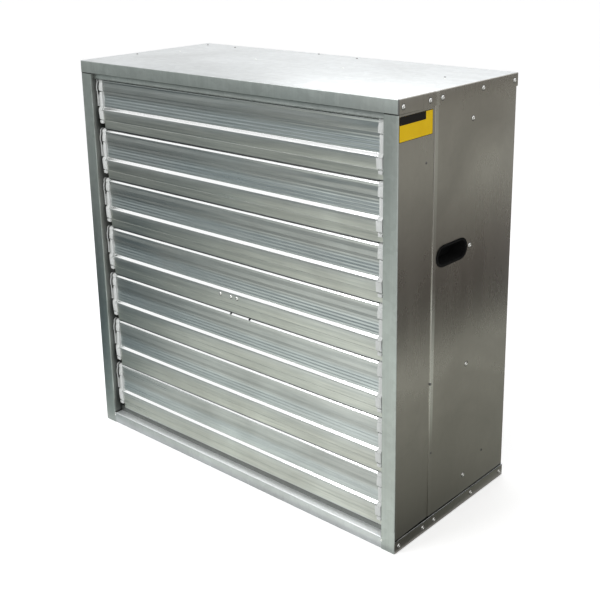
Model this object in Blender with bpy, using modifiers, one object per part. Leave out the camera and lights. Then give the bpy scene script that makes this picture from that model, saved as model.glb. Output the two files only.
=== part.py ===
"""A belt-drive exhaust fan in a square sheet-metal box, with a shutter of seven slats.

The frame: X to the right as seen from the front, Y from the front (shutter) to the rear (intake),
Z up. The origin is on the floor, under the middle of the box. Metres.
"""

import math

import bmesh
import bpy
from mathutils import Matrix, Vector

MM = 0.001
MERGE_DISTANCE = 0.01 * MM
SHARP_DEG = 35
FACING_SHARE = 0.9

# The case
WIDTH = 900 * MM
HEIGHT = 900 * MM
DEPTH = 400 * MM
FACE = min(WIDTH, HEIGHT)
SHEET = 1.5 * MM
GAP = 0.3 * MM
OVERRUN = 5 * MM
TOP_FLANGE = 27.5 * MM
BASE_FLANGE = 26 * MM
RAIL_RETURN = 20 * MM
RAIL_NOTCH = 3 * MM
STILE = 33 * MM
REAR_FLANGE = 33 * MM
FRONT_ZONE = 114 * MM
PANEL_LAP = 10 * MM

# The hand holes in the sides
HANDLE_FRONT = 125 * MM
HANDLE_LENGTH = 106 * MM
HANDLE_HEIGHT = 44 * MM
HANDLE_RISE = 128 * MM
HANDLE_LEVEL = HEIGHT / 2 + HANDLE_RISE
HANDLE_LIP = 3 * MM
HANDLE_DEPTH = 36 * MM
HANDLE_WALL = 2 * MM
HANDLE_LIP_SHEET = 1.2 * MM

# The shutter
SLATS = 7
SHUTTER_MARGIN = 76.8 * MM
SHUTTER_TOP = 45.4 * MM
SLAT_PITCH = (HEIGHT - SHUTTER_MARGIN) / SLATS
SLAT_SHEET = 1.2 * MM
SLAT_END = 55.3 * MM
SLAT_HALF = WIDTH / 2 - SLAT_END
PIVOT_DEPTH = 22 * MM
SLAT_OVERLAP = 9.4 * MM
SLAT_DROP = SLAT_PITCH - SLAT_OVERLAP
ROLL_RADIUS = 6.5 * MM
BAND_FORWARD = 5.5 * MM
LEDGE_RAISED = 48.2 * MM
LEDGE_DROP = SLAT_DROP - LEDGE_RAISED
STEP_SHARE = 0.375
STEP_DROP = LEDGE_DROP * STEP_SHARE
STEP_DEPTH = 1.2 * MM
FLUTES = 5
FLUTE_START = 1.3 * MM
FLUTE_TOP = STEP_DROP + STEP_DEPTH + FLUTE_START
FLUTE_MARGIN = 1.5 * MM
FLUTE_PITCH = (LEDGE_DROP - FLUTE_TOP - FLUTE_MARGIN) / FLUTES
FLUTE_DEPTH_SHARE = 0.12
FLUTE_DEPTH = FLUTE_PITCH * FLUTE_DEPTH_SHARE
FLUTE_FORWARD = 3.3 * MM
FLUTE_LEAN = 0.6 * MM
LEDGE_FORWARD = 9 * MM
LEDGE_RISE = 7 * MM
LEDGE_FOOT = LEDGE_DROP + LEDGE_RISE
EDGE_FORWARD = 6 * MM
BEAD_RAISED = 20.2 * MM
BEAD_DROP = SLAT_DROP - BEAD_RAISED
BEAD_DEPTH = 1 * MM
SLAT_HEM = 2.6 * MM
ROLL_START_DEG = 225
ROLL_STEPS = 9
FLUTE_CREST_SHARE = 0.55
FLUTE_FLANK_SHARE = 0.14

# The end caps of the slats
CAP_WIDTH = 20 * MM
CAP_LIP = 12 * MM
CAP_RIB = 5 * MM
CAP_ROLL = 7.2 * MM
CAP_ROLL_STEPS = 4
CAP_SHORT = 11.2 * MM
CAP_LENGTH = SLAT_DROP - CAP_SHORT
CAP_BACK = 7 * MM
CAP_TOE = 2 * MM
CAP_LIP_PROUD = 3 * MM
CAP_RIB_PROUD = 3.6 * MM
CAP_GROOVE = 1.6 * MM
SPIGOT_RADIUS = 3.4 * MM
SPIGOT_LENGTH = 14 * MM
PIN_RADIUS = 3 * MM
PIN_CLEARANCE = 0.3 * MM
PIN_SIDES = 10
PIN_END = 3 * MM

# The jambs and the head rail
JAMB_DEPTH = 40 * MM
JAMB_FLANGE = 24 * MM
HEAD_DEPTH = 11 * MM
HEAD_DROP = 39.3 * MM
HEAD_EDGE = HEIGHT - HEAD_DROP
HEAD_SHEET = 1.2 * MM
HEAD_LIP = 3 * MM
HEAD_TOP_FLANGE = 24 * MM

# The tie bar behind the slats, its lugs and the push bracket
TIE_X = 52 * MM
TIE_SHEET = 2.5 * MM
TIE_WIDTH = 12 * MM
TIE_END = 12 * MM
LUG_SHEET = 3 * MM
LUG_REACH = 28 * MM
LUG_RISE = 12 * MM
LUG_EYE = 6 * MM
LUG_EYE_STEPS = 8
LUG_ROOT_TOP = 3 * MM
LUG_ROOT_END = 15 * MM
LUG_BITE = 0.6 * MM
TIE_PIN_RADIUS = 2.5 * MM
NOTCH_WIDTH = 5.5 * MM
NOTCH_X = (-4 * MM, 52 * MM)
NOTCHED_SLAT = 5
PUSHED_SLAT = 4
BRACKET_LEFT = 36 * MM
BRACKET_RIGHT = 26 * MM
BRACKET_SHEET = 2 * MM
BRACKET_FOOT = 11 * MM
BRACKET_FOOT_BELOW = 2.5 * MM
BRACKET_KNEE = 3 * MM
BRACKET_REACH = 14 * MM
BRACKET_PAD_ABOVE = 14 * MM

# The bulkhead and its throat
BULKHEAD_DEPTH = 250 * MM
BULKHEAD_FLANGE = 18.5 * MM
THROAT_MARGIN = 68 * MM
THROAT_RADIUS = FACE / 2 - THROAT_MARGIN
THROAT_FLANGE = 43 * MM
THROAT_FLANGE_RADIUS = THROAT_RADIUS + THROAT_FLANGE
THROAT_FRONT = 138 * MM
BORE_SPARE = 23 * MM
BULKHEAD_BORE = THROAT_RADIUS + BORE_SPARE
THROAT_BEND = 20 * MM
THROAT_SIDES = 48
BEND_STEPS = 3

# The impeller
AXIS_LEVEL = HEIGHT / 2
BLADES = 6
TIP_CLEARANCE = 10 * MM
TIP_RADIUS = THROAT_RADIUS - TIP_CLEARANCE
DRUM_RADIUS = 95 * MM
DRUM_WALL = 4 * MM
DRUM_FRONT = 158 * MM
DRUM_LENGTH = 76 * MM
HUB_BOSS_RADIUS = 30 * MM
HUB_BOSS_PROUD = 3 * MM
HUB_BOSS_LENGTH = 70 * MM
HUB_WEB = 5 * MM
HUB_WEB_DEPTH = 194 * MM
BLADE_SHEET = 2 * MM
BLADE_ROOT_CHORD = 108 * MM
BLADE_TIP_CHORD = 190 * MM
BLADE_ROOT_DEG = 38
BLADE_TIP_DEG = 22
BLADE_CAMBER_SHARE = 0.06
BLADE_MIDDLE = 196 * MM
BLADE_ROOT_GAP = 0.7 * MM
BLADE_RADIAL_STEPS = 7
BLADE_CHORD_STEPS = 6
DRUM_SIDES = 40

# The shaft, its bearing and the beams
SHAFT_RADIUS = 12 * MM
SHAFT_FRONT = 202 * MM
SHAFT_LENGTH = 145 * MM
SHAFT_SIDES = 24
CHAMFER = 1 * MM
BEARING_RADIUS = 43 * MM
BEARING_FRONT = 279 * MM
BEARING_LENGTH = 60 * MM
BEARING_COLLAR = 34 * MM
BEARING_STEP = 6 * MM
BEARING_SEAT = 295.3 * MM
BEARING_FOOT = 8 * MM
BEARING_FOOT_HEIGHT = 56 * MM
BEARING_FOOT_HALF = 86 * MM
BEAM_X = 70 * MM
BEAM_WIDTH = 38 * MM
BEAM_DEPTH = 38 * MM
BEAM_SHEET = 2.5 * MM

# The belt drive
BELT_PLANE = 264 * MM
BELT_WIDTH = 13 * MM
BELT_HEIGHT = 8 * MM
BELT_FLANK_DEG = 18
BELT_PROUD = 3 * MM
FAN_PITCH_RADIUS = 95 * MM
DRIVE_RATIO = 2.5
PULLEY_WIDTH = 18 * MM
PULLEY_WEB = 5 * MM
PULLEY_RIM = 8 * MM
PULLEY_BOSS = 24 * MM
PULLEY_BOSS_LENGTH = 24 * MM
GROOVE_FLOOR = 2 * MM
BELT_CLEARANCE = 0.45 * MM
BELT_STEP_DEG = 10
MOTOR_BELT_STEP_DEG = 14
PULLEY_SIDES = 40

# The motor in the lower right corner of the intake side
MOTOR_SIDE = 105 * MM
MOTOR_X = WIDTH / 2 - MOTOR_SIDE
MOTOR_LEVEL = 115 * MM
MOTOR_RADIUS = 68 * MM
MOTOR_FRONT = 283 * MM
MOTOR_LENGTH = 97 * MM
MOTOR_BELL = 14 * MM
MOTOR_BELL_RADIUS = 60 * MM
MOTOR_SHAFT_RADIUS = 9.5 * MM
MOTOR_SHAFT_INSET = 12 * MM
MOTOR_FOOT_HALF = 52 * MM
MOTOR_FOOT_LENGTH = 80 * MM
MOTOR_FOOT_DEPTH = 24 * MM
MOTOR_PAD = 9 * MM
MOTOR_PAD_HALF = 24 * MM
MOTOR_SIDES = 30
MOUNT_SHEET = 3 * MM
MOUNT_LEVEL = 40 * MM
MOUNT_HALF = 78 * MM
MOUNT_LENGTH = 96 * MM
BOX_WIDTH = 62 * MM
BOX_LENGTH = 56 * MM
BOX_HEIGHT = 34 * MM
BOX_BEVEL = 2 * MM
GLAND_RADIUS = 10 * MM
GLAND_NUT = 8 * MM
GLAND_LENGTH = 20 * MM
GLAND_BORE = 5 * MM
GLAND_NECK = 7.5 * MM
GLAND_SIDES = 12

# The centrifugal opener on the front of the hub
OPENER_RADIUS = 35 * MM
OPENER_LENGTH = 39.7 * MM
ROD_RADIUS = 5 * MM
ROD_PAD_GAP = 1 * MM
ROD_REAR_GAP = 7 * MM
ROD_REAR_DEPTH = SHAFT_FRONT - ROD_REAR_GAP
ROD_TIP = 2 * MM
ROD_SIDES = 16
EAR_LENGTH = 14 * MM
EAR_HALF = 12 * MM
EAR_SHEET = 3 * MM
EAR_PROUD = 13 * MM
WEIGHT_PIVOT_X = 42 * MM
WEIGHT_PIVOT_DEPTH = 7 * MM
WEIGHT_PIN = 2.5 * MM
WEIGHT_HALF = 4 * MM
WEIGHT_LENGTH = 31 * MM
WEIGHT_OUT = 18 * MM
WEIGHT_NECK = 8 * MM
WEIGHT_SLOPE = 6 * MM

# The wire guard over the intake
GUARD_MARGIN = 20 * MM
GUARD_HALF_X = WIDTH / 2 - GUARD_MARGIN
GUARD_HALF_Z = HEIGHT / 2 - GUARD_MARGIN
GUARD_FRAME = 2.5 * MM
GUARD_WIRE = 1.75 * MM
GUARD_ROWS = 19
GUARD_UPRIGHTS = 3
GUARD_BITE = 1 * MM
GUARD_TAIL = 1.5 * MM
WIRE_SIDES = 6

FRONT = -DEPTH / 2
REAR = DEPTH / 2

ALONG_X = Matrix(((0, 0, 1, 0), (1, 0, 0, 0), (0, 1, 0, 0), (0, 0, 0, 1)))
ALONG_Y = Matrix(((1, 0, 0, 0), (0, 0, -1, 0), (0, 1, 0, 0), (0, 0, 0, 1)))
ALONG_Z = Matrix.Identity(4)
TURN_TO_Y = (-math.pi / 2, 0, 0)


def at_depth(depth):
    """World Y of a place measured back from the front face."""
    return FRONT + depth


def bore_radius(radius, clearance, sides):
    """Corner radius of a many-sided hole that clears a round pin by the clearance."""
    return (radius + clearance) / math.cos(math.pi / sides)


def new_collection(name):
    collection = bpy.data.collections.new(name)
    bpy.context.scene.collection.children.link(collection)
    return collection


def make_material(name, colour, roughness, metallic):
    material = bpy.data.materials.new(name)
    material.use_nodes = True
    shader = material.node_tree.nodes["Principled BSDF"]
    shader.inputs["Base Color"].default_value = (*colour, 1)
    shader.inputs["Roughness"].default_value = roughness
    shader.inputs["Metallic"].default_value = metallic
    return material


def object_from(name, mesh, material=None):
    """An object in the fan's collection, or a cutter when it has no material."""
    thing = bpy.data.objects.new(name, mesh)
    if material is None:
        CUTTERS.objects.link(thing)
        thing.hide_render = True
        thing.display_type = "WIRE"
    else:
        FAN.objects.link(thing)
        mesh.materials.append(material)
    return thing


def finish_mesh(name, bm):
    mesh = bpy.data.meshes.new(name)
    bm.to_mesh(mesh)
    bm.free()
    return mesh


def shade_round(thing):
    thing.data.shade_smooth()
    thing.data.set_sharp_from_angle(angle=math.radians(SHARP_DEG))
    return thing


def block(name, low, high, material=None):
    """A box between two corners."""
    bm = bmesh.new()
    bmesh.ops.create_cube(bm, size=1)
    size = Vector(high) - Vector(low)
    middle = (Vector(high) + Vector(low)) / 2
    bmesh.ops.scale(bm, vec=size, verts=bm.verts)
    bmesh.ops.translate(bm, vec=middle, verts=bm.verts)
    return object_from(name, finish_mesh(name, bm), material)


def rod(name, start, end, radius, sides, material=None):
    """A round bar between two points."""
    start, end = Vector(start), Vector(end)
    bm = bmesh.new()
    bmesh.ops.create_cone(
        bm, cap_ends=True, segments=sides, radius1=radius, radius2=radius, depth=(end - start).length
    )
    turn = (end - start).to_track_quat("Z", "Y").to_matrix().to_4x4()
    bmesh.ops.transform(bm, matrix=Matrix.Translation((start + end) / 2) @ turn, verts=bm.verts)
    return object_from(name, finish_mesh(name, bm), material)


def mesh_from_curve(curve, place):
    """A closed mesh of a curve's filled shape, with its place applied."""
    drawn = bpy.data.objects.new(curve.name, curve)
    CUTTERS.objects.link(drawn)
    bpy.context.view_layer.update()
    mesh = bpy.data.meshes.new_from_object(drawn.evaluated_get(bpy.context.evaluated_depsgraph_get()))
    bpy.data.objects.remove(drawn)
    bm = bmesh.new()
    bm.from_mesh(mesh)
    bmesh.ops.remove_doubles(bm, verts=bm.verts, dist=MERGE_DISTANCE)
    bmesh.ops.transform(bm, matrix=place, verts=bm.verts)
    bmesh.ops.recalc_face_normals(bm, faces=bm.faces)
    bm.to_mesh(mesh)
    bm.free()
    return mesh


def flat_spline(curve, points):
    spline = curve.splines.new("POLY")
    spline.points.add(len(points) - 1)
    for spot, (x, y) in zip(spline.points, points):
        spot.co = (x, y, 0, 1)
    spline.use_cyclic_u = True


def prism(name, outline, low, high, along, material=None):
    """A flat outline extruded between two levels along an axis."""
    curve = bpy.data.curves.new(name, "CURVE")
    curve.dimensions = "2D"
    curve.fill_mode = "BOTH"
    curve.extrude = (high - low) / 2
    flat_spline(curve, outline)
    middle = Matrix.Translation((0, 0, (high + low) / 2))
    if along is ALONG_Y:
        middle = Matrix.Translation((0, 0, -(high + low) / 2))
    return object_from(name, mesh_from_curve(curve, along @ middle), material)


def turned(name, profile, sides, material=None, wall=None):
    """A profile of (radius, depth from the front) turned about the Y axis.

    A closed profile makes a solid, and with a wall an open profile makes a sheet.
    """
    if wall is None:
        area = sum(a[0] * b[1] - b[0] * a[1] for a, b in zip(profile, profile[1:] + profile[:1]))
        if area > 0:
            profile = profile[::-1]
    bm = bmesh.new()
    spots = [bm.verts.new((radius, 0, at_depth(depth))) for radius, depth in profile]
    for a, b in zip(spots, spots[1:]):
        bm.edges.new((a, b))
    if wall is None and (profile[0][0] > 0 or profile[-1][0] > 0):
        bm.edges.new((spots[-1], spots[0]))
    thing = object_from(name, finish_mesh(name, bm), material)
    thing.rotation_euler = TURN_TO_Y
    screw = thing.modifiers.new("turn", "SCREW")
    screw.steps = sides
    screw.render_steps = sides
    screw.use_merge_vertices = True
    screw.merge_threshold = MERGE_DISTANCE
    screw.use_smooth_shade = True
    if wall is not None:
        solidify(thing, abs(wall), math.copysign(1, wall))
    return thing


def solidify(thing, thickness, offset):
    wall = thing.modifiers.new("wall", "SOLIDIFY")
    wall.thickness = thickness
    wall.offset = offset
    wall.use_even_offset = True


def folded(name, path, low, high, along, thickness, side, material):
    """A sheet folded along a path, with its thickness to one side of it."""
    bm = bmesh.new()
    spots = [bm.verts.new((x, y, low)) for x, y in path]
    edges = [bm.edges.new(pair) for pair in zip(spots, spots[1:])]
    grown = bmesh.ops.extrude_edge_only(bm, edges=edges)["geom"]
    raised = [spot for spot in grown if isinstance(spot, bmesh.types.BMVert)]
    bmesh.ops.translate(bm, vec=(0, 0, high - low), verts=raised)
    bmesh.ops.transform(bm, matrix=along, verts=bm.verts)
    thing = object_from(name, finish_mesh(name, bm), material)
    solidify(thing, thickness, side)
    return thing


def tray(name, low, high, open_side, material):
    """A sheet folded up on all four edges: a box without the face on its open side."""
    bm = bmesh.new()
    bmesh.ops.create_cube(bm, size=1)
    lid = [face for face in bm.faces if face.normal.dot(open_side) > FACING_SHARE]
    bmesh.ops.delete(bm, geom=lid, context="FACES")
    size = Vector(high) - Vector(low)
    bmesh.ops.scale(bm, vec=size, verts=bm.verts)
    bmesh.ops.translate(bm, vec=(Vector(high) + Vector(low)) / 2, verts=bm.verts)
    thing = object_from(name, finish_mesh(name, bm), material)
    solidify(thing, SHEET, -1)
    return thing


def boolean(thing, tool, operation):
    modifier = thing.modifiers.new(operation.lower(), "BOOLEAN")
    modifier.operation = operation
    modifier.object = tool


def cut(thing, *tools):
    for tool in tools:
        boolean(thing, tool, "DIFFERENCE")


def join(thing, *tools):
    for tool in tools:
        boolean(thing, tool, "UNION")


def place(thing, x, y, z):
    thing.location = (x, y, z)
    return thing


def racetrack(length, height, steps=8):
    """A slot's outline with round ends, about its middle."""
    radius = height / 2
    points = []
    for side in (1, -1):
        for step in range(steps + 1):
            angle = math.pi * (step / steps - 0.5)
            x = side * (length / 2 - radius + radius * math.cos(angle))
            points.append((x, side * radius * math.sin(angle)))
    return points


# The case

REAR_WALL_X = WIDTH / 2 - SHEET - GAP
FRONT_WALL_X = REAR_WALL_X - SHEET - GAP
INNER_LOW = SHEET + GAP
INNER_HIGH = HEIGHT - SHEET - GAP
INNER_FRONT = FRONT + SHEET + GAP
INNER_REAR = REAR - SHEET - GAP
STILE_X = WIDTH / 2 - STILE


def make_top_panel():
    low = (-WIDTH / 2, FRONT, HEIGHT - TOP_FLANGE)
    high = (WIDTH / 2, REAR, HEIGHT)
    tray("top_panel", low, high, Vector((0, 0, -1)), GALVANISED)


def make_bottom_panel():
    """The tray under the box, whose front rail folds back level, between the jambs."""
    low = (-WIDTH / 2, FRONT, 0)
    high = (WIDTH / 2, REAR, BASE_FLANGE)
    panel = tray("bottom_panel", low, high, Vector((0, 0, 1)), GALVANISED)
    bm = bmesh.new()
    bm.from_mesh(panel.data)
    end = STILE_X - RAIL_NOTCH
    for x in (-STILE_X, -end, end, STILE_X):
        parts = bm.verts[:] + bm.edges[:] + bm.faces[:]
        bmesh.ops.bisect_plane(bm, geom=parts, plane_co=(x, 0, 0), plane_no=(1, 0, 0))
    rail = [
        edge
        for edge in bm.edges
        if all(abs(v.co.x) < end + GAP and v.co.y < 0 and v.co.z > BASE_FLANGE / 2 for v in edge.verts)
    ]
    grown = bmesh.ops.extrude_edge_only(bm, edges=rail)["geom"]
    raised = [spot for spot in grown if isinstance(spot, bmesh.types.BMVert)]
    bmesh.ops.translate(bm, vec=(0, RAIL_RETURN, 0), verts=raised)
    bm.to_mesh(panel.data)
    bm.free()


def make_side_panels():
    lap = at_depth(FRONT_ZONE)
    hole_middle = at_depth(HANDLE_FRONT + HANDLE_LENGTH / 2)
    for side, hand in ((-1, "left"), (1, "right")):
        front_path = [
            (side * STILE_X, INNER_FRONT),
            (side * FRONT_WALL_X, INNER_FRONT),
            (side * FRONT_WALL_X, lap + PANEL_LAP),
        ]
        rear_path = [
            (side * REAR_WALL_X, lap),
            (side * REAR_WALL_X, INNER_REAR),
            (side * (REAR_WALL_X - REAR_FLANGE), INNER_REAR),
        ]
        name = f"{hand}_front_side_panel"
        folded(name, front_path, INNER_LOW, INNER_HIGH, ALONG_Z, SHEET, side, GALVANISED)
        name = f"{hand}_rear_side_panel"
        panel = folded(name, rear_path, INNER_LOW, INNER_HIGH, ALONG_Z, SHEET, side, GALVANISED)

        def slot(name, spare, inner_x, outer_x, material=None):
            """A racetrack along X, smaller all round than the lip by the spare."""
            outline = racetrack(HANDLE_LENGTH - 2 * spare, HANDLE_HEIGHT - 2 * spare)
            outline = [(y + hole_middle, z + HANDLE_LEVEL) for y, z in outline]
            low, high = sorted((side * inner_x, side * outer_x))
            return prism(name, outline, low, high, ALONG_X, material)

        deep = REAR_WALL_X - HANDLE_DEPTH
        lip_low = REAR_WALL_X + GAP
        lip_high = lip_low + HANDLE_LIP_SHEET
        cut(panel, slot(f"{hand}_hand_hole", HANDLE_LIP, deep, lip_high + OVERRUN))
        cup = slot(f"handle_cup_{hand}", 0, lip_low, lip_high, BLACK_PLASTIC)
        join(cup, slot(f"{hand}_cup_body", HANDLE_LIP + GAP, deep, lip_low + HANDLE_LIP_SHEET / 2))
        hollow = HANDLE_LIP + GAP + HANDLE_WALL
        cut(cup, slot(f"{hand}_cup_hollow", hollow, deep + HANDLE_WALL, lip_high + OVERRUN))


# The shutter

PIVOT_Y = at_depth(PIVOT_DEPTH)


def pivot_level(number):
    """Height of the pivot of a slat, counted from 1 at the top."""
    return HEIGHT - SHUTTER_TOP - SLAT_PITCH * (number - 1)


def apron_forward(drop):
    """How far forward the slat's lower band stands, at a drop below its pivot."""
    share = (drop - LEDGE_FOOT) / (SLAT_DROP - LEDGE_FOOT)
    return LEDGE_FORWARD + (EDGE_FORWARD - LEDGE_FORWARD) * share


def slat_path():
    """The slat's outer face from its roll's open end to its hem, as (Y, Z) about the pivot."""
    path = []
    for step in range(ROLL_STEPS + 1):
        angle = math.radians(ROLL_START_DEG * (1 - step / ROLL_STEPS))
        path.append((ROLL_RADIUS * math.cos(angle), -ROLL_RADIUS * math.sin(angle)))
    path += [(BAND_FORWARD, STEP_DROP), (BAND_FORWARD - STEP_DEPTH, STEP_DROP + STEP_DEPTH)]
    lean = FLUTE_LEAN / (FLUTES * FLUTE_PITCH)
    crest = FLUTE_CREST_SHARE * FLUTE_PITCH
    flank = FLUTE_FLANK_SHARE * FLUTE_PITCH
    for flute in range(FLUTES):
        start = flute * FLUTE_PITCH
        for run, rise in ((0, 0), (flank, FLUTE_DEPTH), (crest, FLUTE_DEPTH), (crest + flank, 0)):
            down = start + run
            path.append((FLUTE_FORWARD + lean * down + rise, FLUTE_TOP + down))
    path += [(FLUTE_FORWARD + FLUTE_LEAN, LEDGE_DROP), (LEDGE_FORWARD, LEDGE_FOOT)]
    for step, depth in enumerate((0, BEAD_DEPTH, BEAD_DEPTH, 0)):
        drop = BEAD_DROP + step * BEAD_DEPTH
        path.append((apron_forward(drop) - depth, drop))
    path += [(EDGE_FORWARD, SLAT_DROP), (EDGE_FORWARD - SLAT_HEM, SLAT_DROP)]
    return [(-forward, -down) for forward, down in path]


def lug_outline():
    """The lug seen from the side: from the slat's inner face up and back to the eye, as (Y, Z)."""
    root = []
    for drop in (LUG_ROOT_TOP, LUG_ROOT_END):
        face = ROLL_RADIUS + (BAND_FORWARD - ROLL_RADIUS) * drop / STEP_DROP - SLAT_SHEET
        root.append(Vector((-face - LUG_BITE, -drop)))
    eye = Vector((LUG_REACH, LUG_RISE))
    first, last = (math.atan2(*(eye - spot).yx) for spot in root[::-1])
    first -= math.pi / 2
    last += math.pi / 2
    arc = [first + (last - first) * step / LUG_EYE_STEPS for step in range(LUG_EYE_STEPS + 1)]
    over = [(eye.x + LUG_EYE * math.cos(angle), eye.y + LUG_EYE * math.sin(angle)) for angle in arc]
    return [tuple(spot) for spot in root] + over


def make_slat(number):
    """A slat about its pivot, with the lug and the pin that hold the tie bar behind it."""
    slat = folded(
        f"slat_{number}", slat_path(), -SLAT_HALF, SLAT_HALF, ALONG_X, SLAT_SHEET, 1, ALUMINIUM
    )
    tools = []
    if number == NOTCHED_SLAT:
        for index, x in enumerate(NOTCH_X):
            low = (x - NOTCH_WIDTH / 2, -2 * ROLL_RADIUS, -ROLL_RADIUS / 2)
            high = (x + NOTCH_WIDTH / 2, 2 * ROLL_RADIUS, 2 * ROLL_RADIUS)
            tools.append(block(f"roll_notch_{index}", low, high))
        cut(slat, *tools)
    lug_end = TIE_X - GAP
    lug = prism(f"slat_{number}_lug", lug_outline(), lug_end - LUG_SHEET, lug_end, ALONG_X)
    pin = rod(
        f"slat_{number}_tie_pin",
        (lug_end - LUG_BITE, LUG_REACH, LUG_RISE),
        (TIE_X + TIE_SHEET + LUG_BITE, LUG_REACH, LUG_RISE),
        TIE_PIN_RADIUS,
        PIN_SIDES,
    )
    join(slat, lug, pin)
    for thing in (slat, *tools, lug, pin):
        place(thing, 0, PIVOT_Y, pivot_level(number))


def cap_outline(proud):
    """An end cap seen from the side, its front proud of the slat, as (Y, Z) about the pivot."""
    half_turn = [math.pi * step / CAP_ROLL_STEPS for step in range(CAP_ROLL_STEPS + 1)]
    over = [(-CAP_ROLL * math.cos(a), CAP_ROLL * math.sin(a)) for a in half_turn]
    front = [
        (apron_forward(CAP_LENGTH) + proud, CAP_LENGTH),
        (LEDGE_FORWARD + proud, LEDGE_FOOT),
        (FLUTE_FORWARD + FLUTE_LEAN + FLUTE_DEPTH + proud, LEDGE_DROP),
        (FLUTE_FORWARD + FLUTE_DEPTH + proud, FLUTE_TOP),
        (BAND_FORWARD + proud, STEP_DROP),
    ]
    back = [(CAP_BACK, FLUTE_TOP), (-CAP_TOE, CAP_LENGTH)]
    outline = [(-forward, -down) for forward, down in front] + over
    outline += [(rear, -down) for rear, down in back]
    return outline


def make_cap(number, side, hand):
    """The moulded end of a slat: a lip, a groove, a rib, a spigot into the roll and the pivot pin."""
    inner = SLAT_HALF + GAP
    outer = inner + CAP_WIDTH

    def slab(name, proud, start, end, material=None):
        low, high = sorted((side * start, side * end))
        return prism(name, cap_outline(proud), low, high, ALONG_X, material)

    stem = f"{hand}_{number}"
    cap = slab(f"{hand}_end_cap_{number}", -CAP_GROOVE, inner, outer, NYLON)
    lip = slab(f"cap_lip_{stem}", CAP_LIP_PROUD, inner, inner + CAP_LIP)
    rib = slab(f"cap_rib_{stem}", CAP_RIB_PROUD, outer - CAP_RIB, outer)
    spigot = rod(
        f"cap_spigot_{stem}",
        (side * (inner - SPIGOT_LENGTH), 0, 0),
        (side * (inner + SPIGOT_LENGTH / 2), 0, 0),
        SPIGOT_RADIUS,
        PIN_SIDES,
    )
    pin = rod(
        f"cap_pin_{stem}",
        (side * (outer - CAP_RIB / 2), 0, 0),
        (side * (STILE_X + SHEET + PIN_END), 0, 0),
        PIN_RADIUS,
        PIN_SIDES,
    )
    join(cap, lip, rib, spigot, pin)
    for thing in (cap, lip, rib, spigot, pin):
        place(thing, 0, PIVOT_Y, pivot_level(number))


def make_jambs():
    face = INNER_FRONT + SHEET + GAP
    for side, hand in ((-1, "left"), (1, "right")):
        path = [
            (side * (STILE_X + JAMB_FLANGE), face),
            (side * STILE_X, face),
            (side * STILE_X, face + JAMB_DEPTH),
        ]
        low = BASE_FLANGE + GAP
        jamb = folded(f"shutter_jamb_{hand}", path, low, INNER_HIGH, ALONG_Z, SHEET, -side, GALVANISED)
        for number in range(1, SLATS + 1):
            level = pivot_level(number)
            ends = ((side * x, PIVOT_Y, level) for x in (STILE_X - OVERRUN, STILE_X + SHEET + OVERRUN))
            radius = bore_radius(PIN_RADIUS, PIN_CLEARANCE, PIN_SIDES)
            cut(jamb, rod(f"{hand}_pivot_hole_{number}", *ends, radius, PIN_SIDES))


def make_head_rail():
    half = STILE_X - GAP
    face = at_depth(HEAD_DEPTH)
    path = [
        (face - HEAD_LIP, HEAD_EDGE),
        (face, HEAD_EDGE),
        (face, INNER_HIGH),
        (face + HEAD_TOP_FLANGE, INNER_HIGH),
    ]
    folded("head_rail", path, -half, half, ALONG_X, HEAD_SHEET, -1, GALVANISED)


def make_tie_bar():
    """A flat bar with a hole for the pin of each slat's lug."""
    pins = [pivot_level(number) + LUG_RISE for number in range(1, SLATS + 1)]
    y = PIVOT_Y + LUG_REACH
    pushed = pins[PUSHED_SLAT - 1]
    low = (TIE_X, -TIE_WIDTH / 2, pins[-1] - TIE_END - pushed)
    high = (TIE_X + TIE_SHEET, TIE_WIDTH / 2, pins[0] + TIE_END - pushed)
    bar = block("tie_bar", low, high, GALVANISED)
    place(bar, 0, y, pushed)
    radius = bore_radius(TIE_PIN_RADIUS, PIN_CLEARANCE, PIN_SIDES)
    for number, level in enumerate(pins, 1):
        ends = ((x, y, level) for x in (TIE_X - OVERRUN, TIE_X + TIE_SHEET + OVERRUN))
        cut(bar, rod(f"tie_hole_{number}", *ends, radius, PIN_SIDES))


def make_push_bracket():
    """A Z of sheet riveted behind the middle slat, whose pad the push rod meets."""
    knee = LEDGE_FOOT + BRACKET_FOOT_BELOW
    foot = -(apron_forward(knee + BRACKET_FOOT) - SLAT_SHEET - GAP)
    rod_drop = pivot_level(PUSHED_SLAT) - AXIS_LEVEL
    path = [
        (foot, -knee - BRACKET_FOOT),
        (foot, -knee),
        (BRACKET_REACH, -knee + BRACKET_KNEE),
        (BRACKET_REACH, BRACKET_PAD_ABOVE - rod_drop),
    ]
    bracket = folded(
        "push_bracket", path, -BRACKET_LEFT, BRACKET_RIGHT, ALONG_X, BRACKET_SHEET, -1, GALVANISED
    )
    place(bracket, 0, PIVOT_Y, pivot_level(PUSHED_SLAT))


# The bulkhead, the throat and the guard


def make_bulkhead():
    back = at_depth(BULKHEAD_DEPTH)
    half = REAR_WALL_X - SHEET - GAP
    low = (-half, back - BULKHEAD_FLANGE, INNER_LOW)
    high = (half, back, INNER_HIGH)
    panel = tray("venturi_panel", low, high, Vector((0, -1, 0)), GALVANISED)
    ends = ((0, y, AXIS_LEVEL) for y in (back - BULKHEAD_FLANGE, back + OVERRUN))
    cut(panel, rod("venturi_bore", *ends, BULKHEAD_BORE, THROAT_SIDES))


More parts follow.
